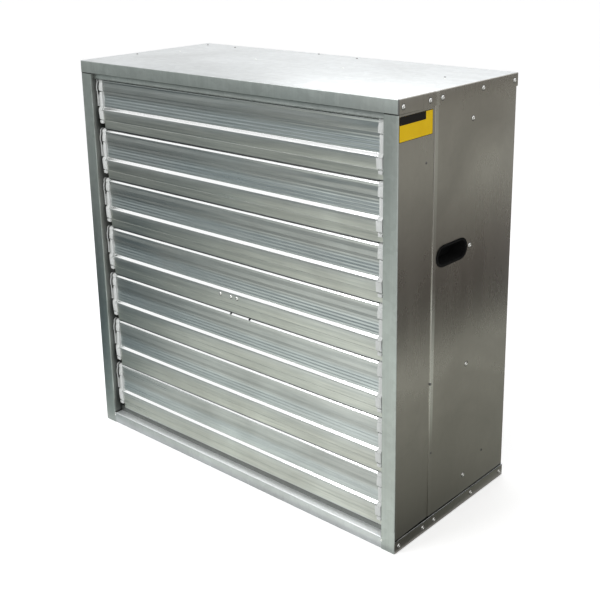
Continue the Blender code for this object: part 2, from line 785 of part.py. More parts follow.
def make_throat():
    """The rolled ring round the impeller: its flange lies on the front of the bulkhead."""
    flange = BULKHEAD_DEPTH - SHEET - GAP
    profile = [(THROAT_FLANGE_RADIUS, flange)]
    for step in range(BEND_STEPS + 1):
        angle = math.pi / 2 * step / BEND_STEPS
        radius = THROAT_RADIUS + THROAT_BEND * (1 - math.sin(angle))
        profile.append((radius, flange - THROAT_BEND * (1 - math.cos(angle))))
    profile.append((THROAT_RADIUS, THROAT_FRONT))
    ring = turned("venturi_ring", profile, THROAT_SIDES, GALVANISED, wall=SHEET)
    place(ring, 0, 0, AXIS_LEVEL)


def make_guard():
    """A welded wire guard: a frame, three uprights and level wires over them."""
    back = INNER_REAR - SHEET - GAP
    frame_y = back - GUARD_FRAME
    middle = HEIGHT / 2
    overhang = GUARD_FRAME + GUARD_TAIL
    bars = []
    for side in (-1, 1):
        level = middle + side * GUARD_HALF_Z
        ends = ((s * (GUARD_HALF_X + overhang), frame_y, level) for s in (-1, 1))
        name, owner = ("guard_top", None) if side > 0 else ("rear_guard", WIRE)
        bars.append(rod(name, *ends, GUARD_FRAME, WIRE_SIDES, owner))
        reach = GUARD_HALF_Z + overhang
        ends = ((side * GUARD_HALF_X, frame_y, middle + s * reach) for s in (-1, 1))
        bars.append(rod(f"guard_side_{side}", *ends, GUARD_FRAME, WIRE_SIDES))
    upright_y = frame_y - GUARD_FRAME - GUARD_WIRE + GUARD_BITE
    level_y = upright_y - 2 * GUARD_WIRE + GUARD_BITE
    for index in range(GUARD_UPRIGHTS):
        x = GUARD_HALF_X * (2 * (index + 1) / (GUARD_UPRIGHTS + 1) - 1)
        ends = ((x, upright_y, middle + s * GUARD_HALF_Z) for s in (-1, 1))
        bars.append(rod(f"guard_upright_{index}", *ends, GUARD_WIRE, WIRE_SIDES))
    for row in range(GUARD_ROWS):
        z = middle + GUARD_HALF_Z * (2 * (row + 1) / (GUARD_ROWS + 1) - 1)
        ends = ((s * GUARD_HALF_X, level_y, z) for s in (-1, 1))
        bars.append(rod(f"guard_level_{row}", *ends, GUARD_WIRE, WIRE_SIDES))
    join(bars[0], *bars[1:])


# The impeller and its drive


def make_hub():
    """A drum with a web and a boss on the shaft."""
    rear = DRUM_FRONT + DRUM_LENGTH
    boss_front = DRUM_FRONT - HUB_BOSS_PROUD
    bore = bore_radius(SHAFT_RADIUS, GAP, SHAFT_SIDES)
    inner = DRUM_RADIUS - DRUM_WALL
    web = HUB_WEB_DEPTH
    profile = [
        (DRUM_RADIUS, DRUM_FRONT),
        (DRUM_RADIUS, rear),
        (inner, rear),
        (inner, web + HUB_WEB),
        (HUB_BOSS_RADIUS, web + HUB_WEB),
        (HUB_BOSS_RADIUS, boss_front + HUB_BOSS_LENGTH),
        (bore, boss_front + HUB_BOSS_LENGTH),
        (bore, boss_front),
        (HUB_BOSS_RADIUS, boss_front),
        (HUB_BOSS_RADIUS, web),
        (inner, web),
        (inner, DRUM_FRONT),
    ]
    place(turned("impeller_hub", profile, DRUM_SIDES, CAST), 0, 0, AXIS_LEVEL)


def make_blade(number):
    """A twisted, cambered sheet from the drum to the tip."""
    root = DRUM_RADIUS + BLADE_ROOT_GAP
    bm = bmesh.new()
    bmesh.ops.create_grid(bm, x_segments=BLADE_RADIAL_STEPS, y_segments=BLADE_CHORD_STEPS, size=1)
    start = 2 * math.pi * number / BLADES
    for spot in bm.verts:
        out = (spot.co.x + 1) / 2
        across = spot.co.y
        radius = root + (TIP_RADIUS - root) * out
        chord = BLADE_ROOT_CHORD + (BLADE_TIP_CHORD - BLADE_ROOT_CHORD) * out
        pitch = math.radians(BLADE_ROOT_DEG + (BLADE_TIP_DEG - BLADE_ROOT_DEG) * out)
        along = across * chord / 2
        bow = BLADE_CAMBER_SHARE * chord * (1 - across * across)
        sweep = along * math.cos(pitch) + bow * math.sin(pitch)
        y = at_depth(BLADE_MIDDLE) + along * math.sin(pitch) - bow * math.cos(pitch)
        angle = start + sweep / radius
        spot.co = (radius * math.cos(angle), y, radius * math.sin(angle))
    thing = object_from(f"blade_{number}", finish_mesh(f"blade_{number}", bm), GALVANISED)
    solidify(thing, BLADE_SHEET, 0)
    shade_round(thing)
    place(thing, 0, 0, AXIS_LEVEL)


def shaft_profile(radius, front, length):
    rear = front + length
    return [
        (0, front),
        (radius - CHAMFER, front),
        (radius, front + CHAMFER),
        (radius, rear - CHAMFER),
        (radius - CHAMFER, rear),
        (0, rear),
    ]


def pulley_profile(pitch_radius, shaft_radius, sides):
    """A V pulley: rim with one groove, web and boss, bored for its shaft."""
    top = pitch_radius + BELT_PROUD - GAP
    floor = pitch_radius + BELT_PROUD - BELT_HEIGHT - GROOVE_FLOOR
    mouth = BELT_WIDTH / 2 + BELT_CLEARANCE / math.cos(math.radians(BELT_FLANK_DEG))
    foot = mouth - (top - floor) * math.tan(math.radians(BELT_FLANK_DEG))
    bore = bore_radius(shaft_radius, GAP, sides)
    front = BELT_PLANE - PULLEY_WIDTH / 2
    rear = BELT_PLANE + PULLEY_WIDTH / 2
    boss_rear = front + PULLEY_BOSS_LENGTH
    under = floor - PULLEY_RIM
    groove = [
        (top, front),
        (top, BELT_PLANE - mouth),
        (floor, BELT_PLANE - foot),
        (floor, BELT_PLANE + foot),
        (top, BELT_PLANE + mouth),
        (top, rear),
    ]
    if under < PULLEY_BOSS:
        return [(bore, front), *groove, (bore, rear)]
    return [
        (bore, front),
        (PULLEY_BOSS, front),
        (PULLEY_BOSS, BELT_PLANE - PULLEY_WEB / 2),
        (under, BELT_PLANE - PULLEY_WEB / 2),
        (under, front),
        *groove,
        (under, rear),
        (under, BELT_PLANE + PULLEY_WEB / 2),
        (PULLEY_BOSS, BELT_PLANE + PULLEY_WEB / 2),
        (PULLEY_BOSS, boss_rear),
        (bore, boss_rear),
    ]


def make_shaft_and_bearing():
    shaft = turned("fan_shaft", shaft_profile(SHAFT_RADIUS, SHAFT_FRONT, SHAFT_LENGTH), SHAFT_SIDES, STEEL)
    pulley = turned(
        "fan_pulley", pulley_profile(FAN_PITCH_RADIUS, SHAFT_RADIUS, SHAFT_SIDES), PULLEY_SIDES, CAST
    )
    bore = bore_radius(SHAFT_RADIUS, GAP, PULLEY_SIDES)
    rear = BEARING_FRONT + BEARING_LENGTH
    profile = [
        (bore, BEARING_FRONT),
        (BEARING_COLLAR, BEARING_FRONT),
        (BEARING_COLLAR, BEARING_FRONT + BEARING_STEP),
        (BEARING_RADIUS, BEARING_FRONT + BEARING_STEP),
        (BEARING_RADIUS, rear - BEARING_STEP),
        (BEARING_COLLAR, rear - BEARING_STEP),
        (BEARING_COLLAR, rear),
        (bore, rear),
    ]
    housing = turned("bearing_housing", profile, PULLEY_SIDES, CAST)
    seat = at_depth(BEARING_SEAT)
    half = BEARING_FOOT_HEIGHT / 2
    low = (-BEARING_FOOT_HALF, seat - BEARING_FOOT - GAP, -half)
    high = (BEARING_FOOT_HALF, seat - GAP, half)
    foot = block("bearing_foot", low, high)
    inside = (BEARING_RADIUS + BEARING_COLLAR) / 2
    core = rod("bearing_core", (0, low[1] - OVERRUN, 0), (0, high[1] + OVERRUN, 0), inside, PULLEY_SIDES)
    cut(foot, core)
    join(housing, foot)
    for thing in (shaft, pulley, housing, foot, core):
        place(thing, 0, 0, AXIS_LEVEL)


def make_beams():
    """Two upright channels that carry the bearing between the top and the bottom panel."""
    front = at_depth(BEARING_SEAT)
    for side, hand in ((-1, "left"), (1, "right")):
        x = side * BEAM_X
        path = [
            (x - BEAM_WIDTH / 2, front + BEAM_DEPTH),
            (x - BEAM_WIDTH / 2, front),
            (x + BEAM_WIDTH / 2, front),
            (x + BEAM_WIDTH / 2, front + BEAM_DEPTH),
        ]
        folded(f"support_beam_{hand}", path, INNER_LOW, INNER_HIGH, ALONG_Z, BEAM_SHEET, 1, PAINT)


def belt_path(big, small):
    """The belt's loop round both pulleys, as (X, Z) about the fan's axis."""
    centre = Vector((MOTOR_X, MOTOR_LEVEL - AXIS_LEVEL))
    line = math.atan2(centre.y, centre.x)
    spread = math.acos((big - small) / centre.length)
    points = []
    for middle, radius, start, end, step in (
        (Vector((0, 0)), big, line + spread, line - spread + 2 * math.pi, BELT_STEP_DEG),
        (centre, small, line - spread, line + spread, MOTOR_BELT_STEP_DEG),
    ):
        count = math.ceil((end - start) / math.radians(step))
        for index in range(count + 1):
            angle = start + (end - start) * index / count
            points.append((middle.x + radius * math.cos(angle), middle.y + radius * math.sin(angle)))
    return points


def make_belt():
    """A V section swept round the loop of the belt's middle line."""
    small = FAN_PITCH_RADIUS / DRIVE_RATIO
    reach = BELT_PROUD - BELT_HEIGHT / 2
    curve = bpy.data.curves.new("belt", "CURVE")
    curve.dimensions = "2D"
    flat_spline(curve, belt_path(FAN_PITCH_RADIUS + reach, small + reach))
    section = bpy.data.curves.new("belt_section", "CURVE")
    section.dimensions = "2D"
    narrow = BELT_WIDTH / 2 - BELT_HEIGHT * math.tan(math.radians(BELT_FLANK_DEG))
    top = BELT_HEIGHT / 2
    wide = BELT_WIDTH / 2
    flat_spline(section, [(top, -narrow), (-top, -wide), (-top, wide), (top, narrow)])
    outline = bpy.data.objects.new("belt_section", section)
    CUTTERS.objects.link(outline)
    curve.bevel_mode = "OBJECT"
    curve.bevel_object = outline
    at_plane = Matrix.Translation((0, at_depth(BELT_PLANE), AXIS_LEVEL))
    object_from("belt", mesh_from_curve(curve, at_plane @ ALONG_Y), RUBBER)
    bpy.data.objects.remove(outline)


def make_motor():
    """A short-bodied motor on its plate, with its shaft, pulley, terminal box and gland."""
    rear = MOTOR_FRONT + MOTOR_LENGTH
    profile = [
        (0, MOTOR_FRONT + MOTOR_SHAFT_INSET + GAP),
        (bore_radius(MOTOR_SHAFT_RADIUS, GAP, MOTOR_SIDES), MOTOR_FRONT + MOTOR_SHAFT_INSET + GAP),
        (bore_radius(MOTOR_SHAFT_RADIUS, GAP, MOTOR_SIDES), MOTOR_FRONT),
        (MOTOR_BELL_RADIUS, MOTOR_FRONT),
        (MOTOR_RADIUS, MOTOR_FRONT + MOTOR_BELL),
        (MOTOR_RADIUS, rear - MOTOR_BELL),
        (MOTOR_BELL_RADIUS, rear),
        (0, rear),
    ]
    body = turned("motor_body", profile, MOTOR_SIDES, PAINT)
    middle = at_depth(MOTOR_FRONT + MOTOR_LENGTH / 2)
    foot_low = MOUNT_LEVEL + GAP - MOTOR_LEVEL
    foot = block(
        "motor_foot",
        (-MOTOR_FOOT_HALF, middle - MOTOR_FOOT_LENGTH / 2, foot_low),
        (MOTOR_FOOT_HALF, middle + MOTOR_FOOT_LENGTH / 2, foot_low + MOTOR_FOOT_DEPTH),
    )
    pad_top = MOTOR_RADIUS + MOTOR_PAD
    pad = block(
        "motor_pad",
        (-MOTOR_PAD_HALF, middle - MOTOR_PAD_HALF, pad_top / 2),
        (MOTOR_PAD_HALF, middle + MOTOR_PAD_HALF, pad_top),
    )
    join(body, foot, pad)
    shaft_front = BELT_PLANE - PULLEY_WIDTH / 2 - CHAMFER
    shaft_length = MOTOR_FRONT + MOTOR_SHAFT_INSET - shaft_front
    shaft = turned(
        "motor_shaft", shaft_profile(MOTOR_SHAFT_RADIUS, shaft_front, shaft_length), SHAFT_SIDES, STEEL
    )
    profile = pulley_profile(FAN_PITCH_RADIUS / DRIVE_RATIO, MOTOR_SHAFT_RADIUS, SHAFT_SIDES)
    pulley = turned("motor_pulley", profile, MOTOR_SIDES, CAST)
    box_low = pad_top + GAP
    box = block(
        "terminal_box",
        (-BOX_WIDTH / 2, middle - BOX_LENGTH / 2, box_low),
        (BOX_WIDTH / 2, middle + BOX_LENGTH / 2, box_low + BOX_HEIGHT),
        PAINT,
    )
    bevel = box.modifiers.new("edges", "BEVEL")
    bevel.width = BOX_BEVEL
    bevel.segments = 1
    gland_level = box_low + BOX_HEIGHT / 2
    face = -BOX_WIDTH / 2 - GAP
    gland = rod(
        "cable_gland",
        (face, middle, gland_level),
        (face - GLAND_NUT, middle, gland_level),
        GLAND_RADIUS,
        WIRE_SIDES,
        BLACK_PLASTIC,
    )
    neck = rod(
        "gland_neck",
        (face - GLAND_NUT / 2, middle, gland_level),
        (face - GLAND_LENGTH, middle, gland_level),
        GLAND_NECK,
        GLAND_SIDES,
    )
    bore = rod(
        "gland_bore",
        (face - GLAND_NUT / 2, middle, gland_level),
        (face - GLAND_LENGTH - OVERRUN, middle, gland_level),
        GLAND_BORE,
        GLAND_SIDES,
    )
    join(gland, neck)
    cut(gland, bore)
    for thing in (body, foot, pad, shaft, pulley, box, gland, neck, bore):
        place(thing, MOTOR_X, 0, MOTOR_LEVEL)


def make_motor_plate():
    """A channel on the bottom panel under the motor's feet."""
    path = [
        (MOTOR_X - MOUNT_HALF, INNER_LOW),
        (MOTOR_X - MOUNT_HALF, MOUNT_LEVEL),
        (MOTOR_X + MOUNT_HALF, MOUNT_LEVEL),
        (MOTOR_X + MOUNT_HALF, INNER_LOW),
    ]
    front = at_depth(MOTOR_FRONT)
    folded("motor_plate", path, -front - MOUNT_LENGTH, -front, ALONG_Y, MOUNT_SHEET, -1, GALVANISED)


# The opener


def make_opener():
    """The housing on the hub, with an ear and a pin for the weight on either side."""
    rear = DRUM_FRONT - HUB_BOSS_PROUD - GAP
    front = rear - OPENER_LENGTH
    bore = bore_radius(ROD_RADIUS, GAP, ROD_SIDES)
    profile = [
        (bore, front),
        (OPENER_RADIUS - CHAMFER, front),
        (OPENER_RADIUS, front + CHAMFER),
        (OPENER_RADIUS, rear),
        (bore, rear),
    ]
    housing = turned("opener_housing", profile, SHAFT_SIDES, CAST)
    tools = []
    pivot_y = at_depth(front + WEIGHT_PIVOT_DEPTH)
    for side, hand in ((-1, "left"), (1, "right")):
        for level in (-1, 1):
            reach = sorted((side * (OPENER_RADIUS - EAR_PROUD), side * (OPENER_RADIUS + EAR_PROUD)))
            heights = sorted((level * (EAR_HALF - EAR_SHEET), level * EAR_HALF))
            ear = block(
                f"opener_ear_{hand}_{level}",
                (reach[0], pivot_y - EAR_LENGTH / 2, heights[0]),
                (reach[1], pivot_y + EAR_LENGTH / 2, heights[1]),
            )
            tools.append(ear)
        ends = ((side * WEIGHT_PIVOT_X, pivot_y, s * (EAR_HALF - EAR_SHEET / 2)) for s in (-1, 1))
        tools.append(rod(f"opener_pin_{hand}", *ends, WEIGHT_PIN, PIN_SIDES))
        make_weight(side, hand, pivot_y)
    join(housing, *tools)
    for thing in (housing, *tools):
        place(thing, 0, 0, AXIS_LEVEL)
    return front


def make_weight(side, hand, pivot_y):
    """A bob on an arm that lies along the housing at rest and swings out from it."""
    outline = [
        (-WEIGHT_HALF, -WEIGHT_HALF),
        (WEIGHT_HALF, -WEIGHT_HALF),
        (WEIGHT_HALF, WEIGHT_NECK),
        (WEIGHT_OUT, WEIGHT_NECK + WEIGHT_SLOPE),
        (WEIGHT_OUT, WEIGHT_LENGTH),
        (-WEIGHT_HALF, WEIGHT_LENGTH),
    ]
    outline = [(side * x, y) for x, y in outline]
    half = EAR_HALF - EAR_SHEET - GAP
    weight = prism(f"opener_weight_{hand}", outline, -half, half, ALONG_Z, CAST)
    radius = bore_radius(WEIGHT_PIN, PIN_CLEARANCE, PIN_SIDES)
    reach = half + OVERRUN
    hole = rod(f"weight_hole_{hand}", (0, 0, -reach), (0, 0, reach), radius, PIN_SIDES)
    cut(weight, hole)
    for thing in (weight, hole):
        place(thing, side * WEIGHT_PIVOT_X, pivot_y, AXIS_LEVEL)


def make_push_rod():
    pad = PIVOT_DEPTH + BRACKET_REACH + BRACKET_SHEET
    front = pad + ROD_PAD_GAP
    profile = [
        (0, front),
        (ROD_RADIUS - ROD_TIP, front),
        (ROD_RADIUS, front + ROD_TIP),
        (ROD_RADIUS, ROD_REAR_DEPTH),
        (0, ROD_REAR_DEPTH),
    ]
    place(turned("push_rod", profile, ROD_SIDES, STEEL), 0, 0, AXIS_LEVEL)


for old in list(bpy.data.objects):
    bpy.data.objects.remove(old)
FAN = new_collection("exhaust_fan")
CUTTERS = new_collection("cutters")

GALVANISED = make_material("galvanised_sheet", (0.62, 0.66, 0.67), 0.42, 0.9)
ALUMINIUM = make_material("aluminium_slat", (0.66, 0.68, 0.67), 0.34, 0.95)
NYLON = make_material("white_nylon", (0.66, 0.68, 0.66), 0.5, 0.0)
BLACK_PLASTIC = make_material("black_plastic", (0.02, 0.02, 0.02), 0.55, 0.0)
WIRE = make_material("guard_wire", (0.55, 0.57, 0.58), 0.4, 0.9)
CAST = make_material("cast_metal", (0.25, 0.26, 0.27), 0.55, 0.8)
STEEL = make_material("turned_steel", (0.5, 0.51, 0.52), 0.28, 1.0)
PAINT = make_material("grey_paint", (0.2, 0.24, 0.27), 0.45, 0.0)
RUBBER = make_material("belt_rubber", (0.03, 0.03, 0.03), 0.75, 0.0)

make_top_panel()
make_bottom_panel()
make_side_panels()
for slat_number in range(1, SLATS + 1):
    make_slat(slat_number)
    make_cap(slat_number, -1, "left")
    make_cap(slat_number, 1, "right")
make_jambs()
make_head_rail()
make_tie_bar()
make_push_bracket()
make_bulkhead()
make_throat()
make_guard()
make_hub()
for blade_number in range(1, BLADES + 1):
    make_blade(blade_number)
make_shaft_and_bearing()
make_beams()
make_belt()
make_motor()
make_motor_plate()
make_opener()
make_push_rod()
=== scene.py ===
# %% [markdown]
# # An exhaust fan in a sheet-metal case
#
# This fan moves the air of a barn or a workshop. Its case is folded from galvanised steel sheet,
# and seven ribbed aluminium slats close its front. When the fan turns, the slats swing open.
# The engineering model gives the exact places. This lesson dresses it: sheet with real bends,
# extruded slats, moulded end caps, rivets, a wire guard, and metal that has been handled.
#
# The model is in metres, and *MM* turns a millimetre into them. The pitch of the slats and the
# height of the first pivot are set here, because both the finishes and the shapes need them.

# %% Load the fixed frame
import math

import bmesh
import bpy
from mathutils import Matrix, Vector


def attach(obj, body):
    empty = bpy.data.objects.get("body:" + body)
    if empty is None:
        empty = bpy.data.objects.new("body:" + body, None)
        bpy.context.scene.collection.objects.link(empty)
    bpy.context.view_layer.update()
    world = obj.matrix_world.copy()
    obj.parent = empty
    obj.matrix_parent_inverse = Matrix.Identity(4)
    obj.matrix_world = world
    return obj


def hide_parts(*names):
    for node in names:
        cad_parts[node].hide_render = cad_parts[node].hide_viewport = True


MM = 0.001
SLAT_PITCH = 117.6 * MM
TOP_PIVOT = 854.6 * MM
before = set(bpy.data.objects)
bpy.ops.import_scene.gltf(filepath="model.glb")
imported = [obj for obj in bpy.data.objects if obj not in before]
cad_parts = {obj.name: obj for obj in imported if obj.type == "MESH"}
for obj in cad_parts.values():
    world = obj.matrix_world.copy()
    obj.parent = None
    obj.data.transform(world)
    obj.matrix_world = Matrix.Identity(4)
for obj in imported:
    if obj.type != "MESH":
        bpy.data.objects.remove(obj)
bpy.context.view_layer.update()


def linked(name, data):
    """A new object in the scene."""
    thing = bpy.data.objects.new(name, data)
    bpy.context.scene.collection.objects.link(thing)
    return thing


# %% [markdown]
# ## The camera
#
# The camera was found by fitting the seven corners of the case that can be seen to a box of its
# real size. It stands a little over a metre high, off the right-hand corner. A small shift keeps
# the upright edges nearly parallel, as they are with a camera that is held almost level.

# %% Camera
EYE = Vector((1.4958, -1.6178, 1.2009))
HEADING, TILT, ROLL = (math.radians(angle) for angle in (-42.0598, -16.1026, -1.0159))
LENS = 61.778
SHIFT_Y = -0.14


def aim_camera():
    """A camera from its place, heading, tilt and roll."""
    ahead = Vector((
        math.sin(HEADING) * math.cos(TILT), math.cos(HEADING) * math.cos(TILT), math.sin(TILT),
    ))
    level = ahead.cross(Vector((0, 0, 1))).normalized()
    rise = level.cross(ahead)
    right = level * math.cos(ROLL) + rise * math.sin(ROLL)
    up = rise * math.cos(ROLL) - level * math.sin(ROLL)
    data = bpy.data.cameras.new("camera")
    data.lens = LENS
    data.shift_y = SHIFT_Y
    camera = linked("camera", data)
    turn = Matrix((right, up, -ahead)).transposed().to_4x4()
    camera.matrix_world = Matrix.Translation(EYE) @ turn
    bpy.context.scene.camera = camera


aim_camera()
bpy.context.scene.view_settings.view_transform = "Standard"
print("camera at", tuple(round(value, 3) for value in EYE))

# %% [markdown]
# ## Nodes in a few words
#
# Shader trees and geometry trees are both built from nodes. One small helper adds a node, sets
# its options, and fills its sockets with values or with links, so that a tree reads from top to
# bottom like a recipe.


# %% Helper: one node with its links
def put(tree, kind, options=None, **sockets):
    """Adds a node. A socket is named in words, or i0, i1 for its number; a value or a link fills it."""
    made = tree.nodes.new(kind)
    for option, value in (options or {}).items():
        setattr(made, option, value)
    for name, value in sockets.items():
        key = int(name[1:]) if name[0] == "i" and name[1:].isdigit() else name.replace("_", " ")
        if isinstance(value, bpy.types.NodeSocket):
            tree.links.new(value, made.inputs[key])
        else:
            made.inputs[key].default_value = value
    return made


def shader_group(name, inputs, output="Mask"):
    """An empty shader group with named inputs (name: default) and one number for a result."""
    tree = bpy.data.node_groups.new(name, "ShaderNodeTree")
    for label, default in inputs.items():
        kind = "Float" if isinstance(default, float) else "Vector"
        socket = tree.interface.new_socket(label, in_out="INPUT", socket_type="NodeSocket" + kind)
        if label != "Vector":
            socket.default_value = default
    tree.interface.new_socket(output, in_out="OUTPUT", socket_type="NodeSocketFloat")
    return tree, tree.nodes.new("NodeGroupInput").outputs, tree.nodes.new("NodeGroupOutput").inputs[0]


# %% [markdown]
# A few nodes come back in nearly every tree: a step of arithmetic, a range, a noise, a ramp of
# tones, the place of a point, and a node that holds a whole group. Each has its own short helper.


# %% Helpers: the nodes that come back
def calc(tree, operation, first, second=0.0, third=0.0, clamp=False):
    """A step of arithmetic on up to three numbers. Each is a value or a link."""
    options = {"operation": operation, "use_clamp": clamp}
    return put(tree, "ShaderNodeMath", options, i0=first, i1=second, i2=third).outputs[0]


def scaled(tree, value, amount, start=0.0):
    return calc(tree, "MULTIPLY_ADD", value, amount, start)


def ranged(tree, value, low, high):
    """Where a value lies from low to high, as a share from 0 to 1."""
    return put(tree, "ShaderNodeMapRange", Value=value, From_Min=low, From_Max=high).outputs[0]


def noise(tree, place, scale, detail, **more):
    return put(tree, "ShaderNodeTexNoise", Vector=place, Scale=scale, Detail=detail, **more).outputs[0]


def object_place(tree):
    return put(tree, "ShaderNodeTexCoord").outputs["Object"]


def group_node(tree, group, **sockets):
    return put(tree, "ShaderNodeGroup", {"node_tree": group}, **sockets).outputs[0]


def mix_colour(tree, mask, below, above, mode="MIX"):
    """Blends two colours by a mask. A colour may be a value or a link."""
    options = {"data_type": "RGBA", "blend_type": mode}
    return put(tree, "ShaderNodeMix", options, i0=mask, i6=below, i7=above).outputs[2]


def ramp_of(tree, share, stops):
    """A ramp of (place, grey or colour) stops, read at a share."""
    ramp = put(tree, "ShaderNodeValToRGB", Fac=share)
    points = ramp.color_ramp.elements

    def fill(point, place, tone):
        point.position = place
        point.color = (*tone, 1) if isinstance(tone, tuple) else (tone, tone, tone, 1)

    fill(points[0], *stops[0])
    fill(points[1], *stops[-1])
    for place, tone in stops[1:-1]:
        fill(points.new(place), place, tone)
    return ramp.outputs[0]


def new_material(name):
    """A new material, its tree and its shader."""
    material = bpy.data.materials.new(name)
    material.use_nodes = True
    return material, material.node_tree, material.node_tree.nodes["Principled BSDF"]


# %% [markdown]
# ## Studio
#
# The room is plain: a pale floor, a white surround and three soft lamps. Bare metal shows what
# stands round it, so the camera and the reflections see the surround as white, while the light
# that it sheds is kept lower. Graded cards stand and lie beside the case, as a photographer puts
# them beside bright metal: only its reflections see them, and they draw its long soft gradients.

# %% Floor, surround, lamps and cards
FLOOR_COLOUR = (0.86, 0.86, 0.86, 1)
FLOOR_GLOW = 0.54
SURROUND_LIGHT = 0.5


def make_surround():
    """White to the camera and to reflections, and dimmer as a light."""
    world = bpy.data.worlds.new("surround")
    bpy.context.scene.world = world
    world.use_nodes = True
    tree = world.node_tree
    tree.nodes.clear()
    rays = put(tree, "ShaderNodeLightPath").outputs
    seen = calc(tree, "MAXIMUM", rays["Is Camera Ray"], rays["Is Glossy Ray"])
    seen = calc(tree, "MAXIMUM", seen, rays["Is Transmission Ray"])
    shed, shown = (
        put(tree, "ShaderNodeBackground", Color=(1, 1, 1, 1), Strength=strength).outputs[0]
        for strength in (SURROUND_LIGHT, 1.0)
    )
    both = put(tree, "ShaderNodeMixShader", i0=seen, i1=shed, i2=shown).outputs[0]
    put(tree, "ShaderNodeOutputWorld", Surface=both)


def make_floor_finish():
    """Pale and matt. What the camera sees of it is lifted towards white, and it keeps its shadows."""
    material, tree, shader = new_material("studio_floor")
    shader.inputs["Base Color"].default_value = FLOOR_COLOUR
    shader.inputs["Roughness"].default_value = 0.9
    shader.inputs["Emission Color"].default_value = (1, 1, 1, 1)
    seen = put(tree, "ShaderNodeLightPath").outputs["Is Camera Ray"]
    tree.links.new(calc(tree, "MULTIPLY", seen, FLOOR_GLOW), shader.inputs["Emission Strength"])
    return material


def stage_plane(name, corners, material):
    """A flat piece of the studio, between four corners."""
    mesh = bpy.data.meshes.new(name)
    mesh.from_pydata(corners, [], [(0, 1, 2, 3)])
    mesh.materials.append(material)
    plane = linked(name, mesh)
    return plane


def soft_lamp(name, place, target, size, watts):
    """A rectangular lamp that looks at a target."""
    data = bpy.data.lights.new(name, "AREA")
    data.shape = "RECTANGLE"
    data.size, data.size_y = size
    data.energy = watts
    aim = Vector(target) - Vector(place)
    turn = aim.to_track_quat("-Z", "Y").to_matrix().to_4x4()
    linked(name, data).matrix_world = Matrix.Translation(place) @ turn


make_surround()
FAR = 30
stage_plane(
    "floor", [(-FAR, -FAR, 0), (FAR, -FAR, 0), (FAR, FAR, 0), (-FAR, FAR, 0)],
    make_floor_finish(),
)
LOW = 0.004
CARDS = (
    (
        "front_card", [(-3.4, -0.9, 0), (-0.7, -3.2, 0), (-0.7, -3.2, 1.5), (-3.4, -0.9, 1.5)],
        (1, 0, 0), -3.4,
        (
            (0.0, (0.40, 0.41, 0.395)), (1.2, (0.32, 0.35, 0.345)), (2.0, (0.24, 0.28, 0.285)),
            (2.7, (0.19, 0.235, 0.245)),
        ),
    ),
    (
        "near_card", [(-2.6, -1.5, LOW), (1.1, -1.5, LOW), (1.1, -0.21, LOW), (-2.6, -0.21, LOW)],
        (1, -0.62, 0), -0.95,
        (
            (0.0, (0.04, 0.06, 0.07)), (0.3, (0.08, 0.11, 0.125)), (0.52, (0.22, 0.26, 0.26)),
            (0.7, (0.58, 0.61, 0.58)), (1.0, (0.86, 0.90, 0.84)), (1.4, (1.0, 1.03, 0.98)),
        ),
    ),
    (
        "far_card", [(-2.8, -3.0, LOW), (1.1, -3.0, LOW), (1.1, -1.5, LOW), (-2.8, -1.5, LOW)],
        (1, 0, 0), -1.9,
        (
            (0.0, (0.36, 0.375, 0.355)), (0.9, (0.42, 0.43, 0.39)), (1.5, (0.46, 0.48, 0.46)),
            (2.2, (0.6, 0.62, 0.6)),
        ),
    ),
    (
        "side_card", [(1.35, 0.1, 0), (0.6, 1.3, 0), (0.6, 1.3, 1.0), (1.35, 0.1, 1.0)],
        (0, 0, 1), 0.0,
        (
            (0.0, (0.15, 0.15, 0.13)), (0.15, (0.07, 0.062, 0.058)), (0.27, (0.12, 0.105, 0.096)),
            (0.4, (0.26, 0.255, 0.23)), (0.52, (0.46, 0.46, 0.42)), (0.7, (0.30, 0.29, 0.26)),
            (1.0, (0.17, 0.158, 0.14)),
        ),
    ),
    (
        "foot_card", [(0.452, -0.3, LOW), (1.3, -0.3, LOW), (1.3, 1.2, LOW), (0.452, 1.2, LOW)],
        (1, 0.5, 0), 0.4,
        (
            (0.0, (0.10, 0.10, 0.09)), (0.064, (0.14, 0.143, 0.125)), (0.2, (0.22, 0.222, 0.195)),
            (0.34, (0.29, 0.295, 0.26)), (0.6, (0.31, 0.31, 0.275)), (0.8, (0.48, 0.485, 0.44)),
            (1.2, (0.55, 0.55, 0.50)),
        ),
    ),
)


def graded_finish(name, along, start, tones):
    """A card that shines in tones (distance, colour) along a direction."""
    material = bpy.data.materials.new(name)
    material.use_nodes = True
    tree = material.node_tree
    tree.nodes.clear()
    reach = put(
        tree, "ShaderNodeVectorMath", {"operation": "DOT_PRODUCT"}, i0=object_place(tree), i1=along
    ).outputs["Value"]
    length = tones[-1][0]
    share = ranged(tree, reach, start, start + length)
    colour = ramp_of(tree, share, [(distance / length, tone) for distance, tone in tones])
    shine = put(tree, "ShaderNodeEmission", Color=colour, Strength=1.0).outputs[0]
    put(tree, "ShaderNodeOutputMaterial", Surface=shine)
    return material


for name, corners, along, start, tones in CARDS:
    card = stage_plane(name, corners, graded_finish(name, along, start, tones))
    card.visible_camera = card.visible_diffuse = card.visible_shadow = False
soft_lamp("key_lamp", (-0.9, -2.4, 3.0), (0, 0, 0.5), (1.6, 1.6), 45)
soft_lamp("top_lamp", (-0.6, 1.6, 2.6), (0, 0, 0.9), (1.8, 1.4), 12)
soft_lamp("fill_lamp", (2.6, -2.4, 1.6), (0, 0, 0.4), (1.5, 1.5), 8)
print("studio ready")

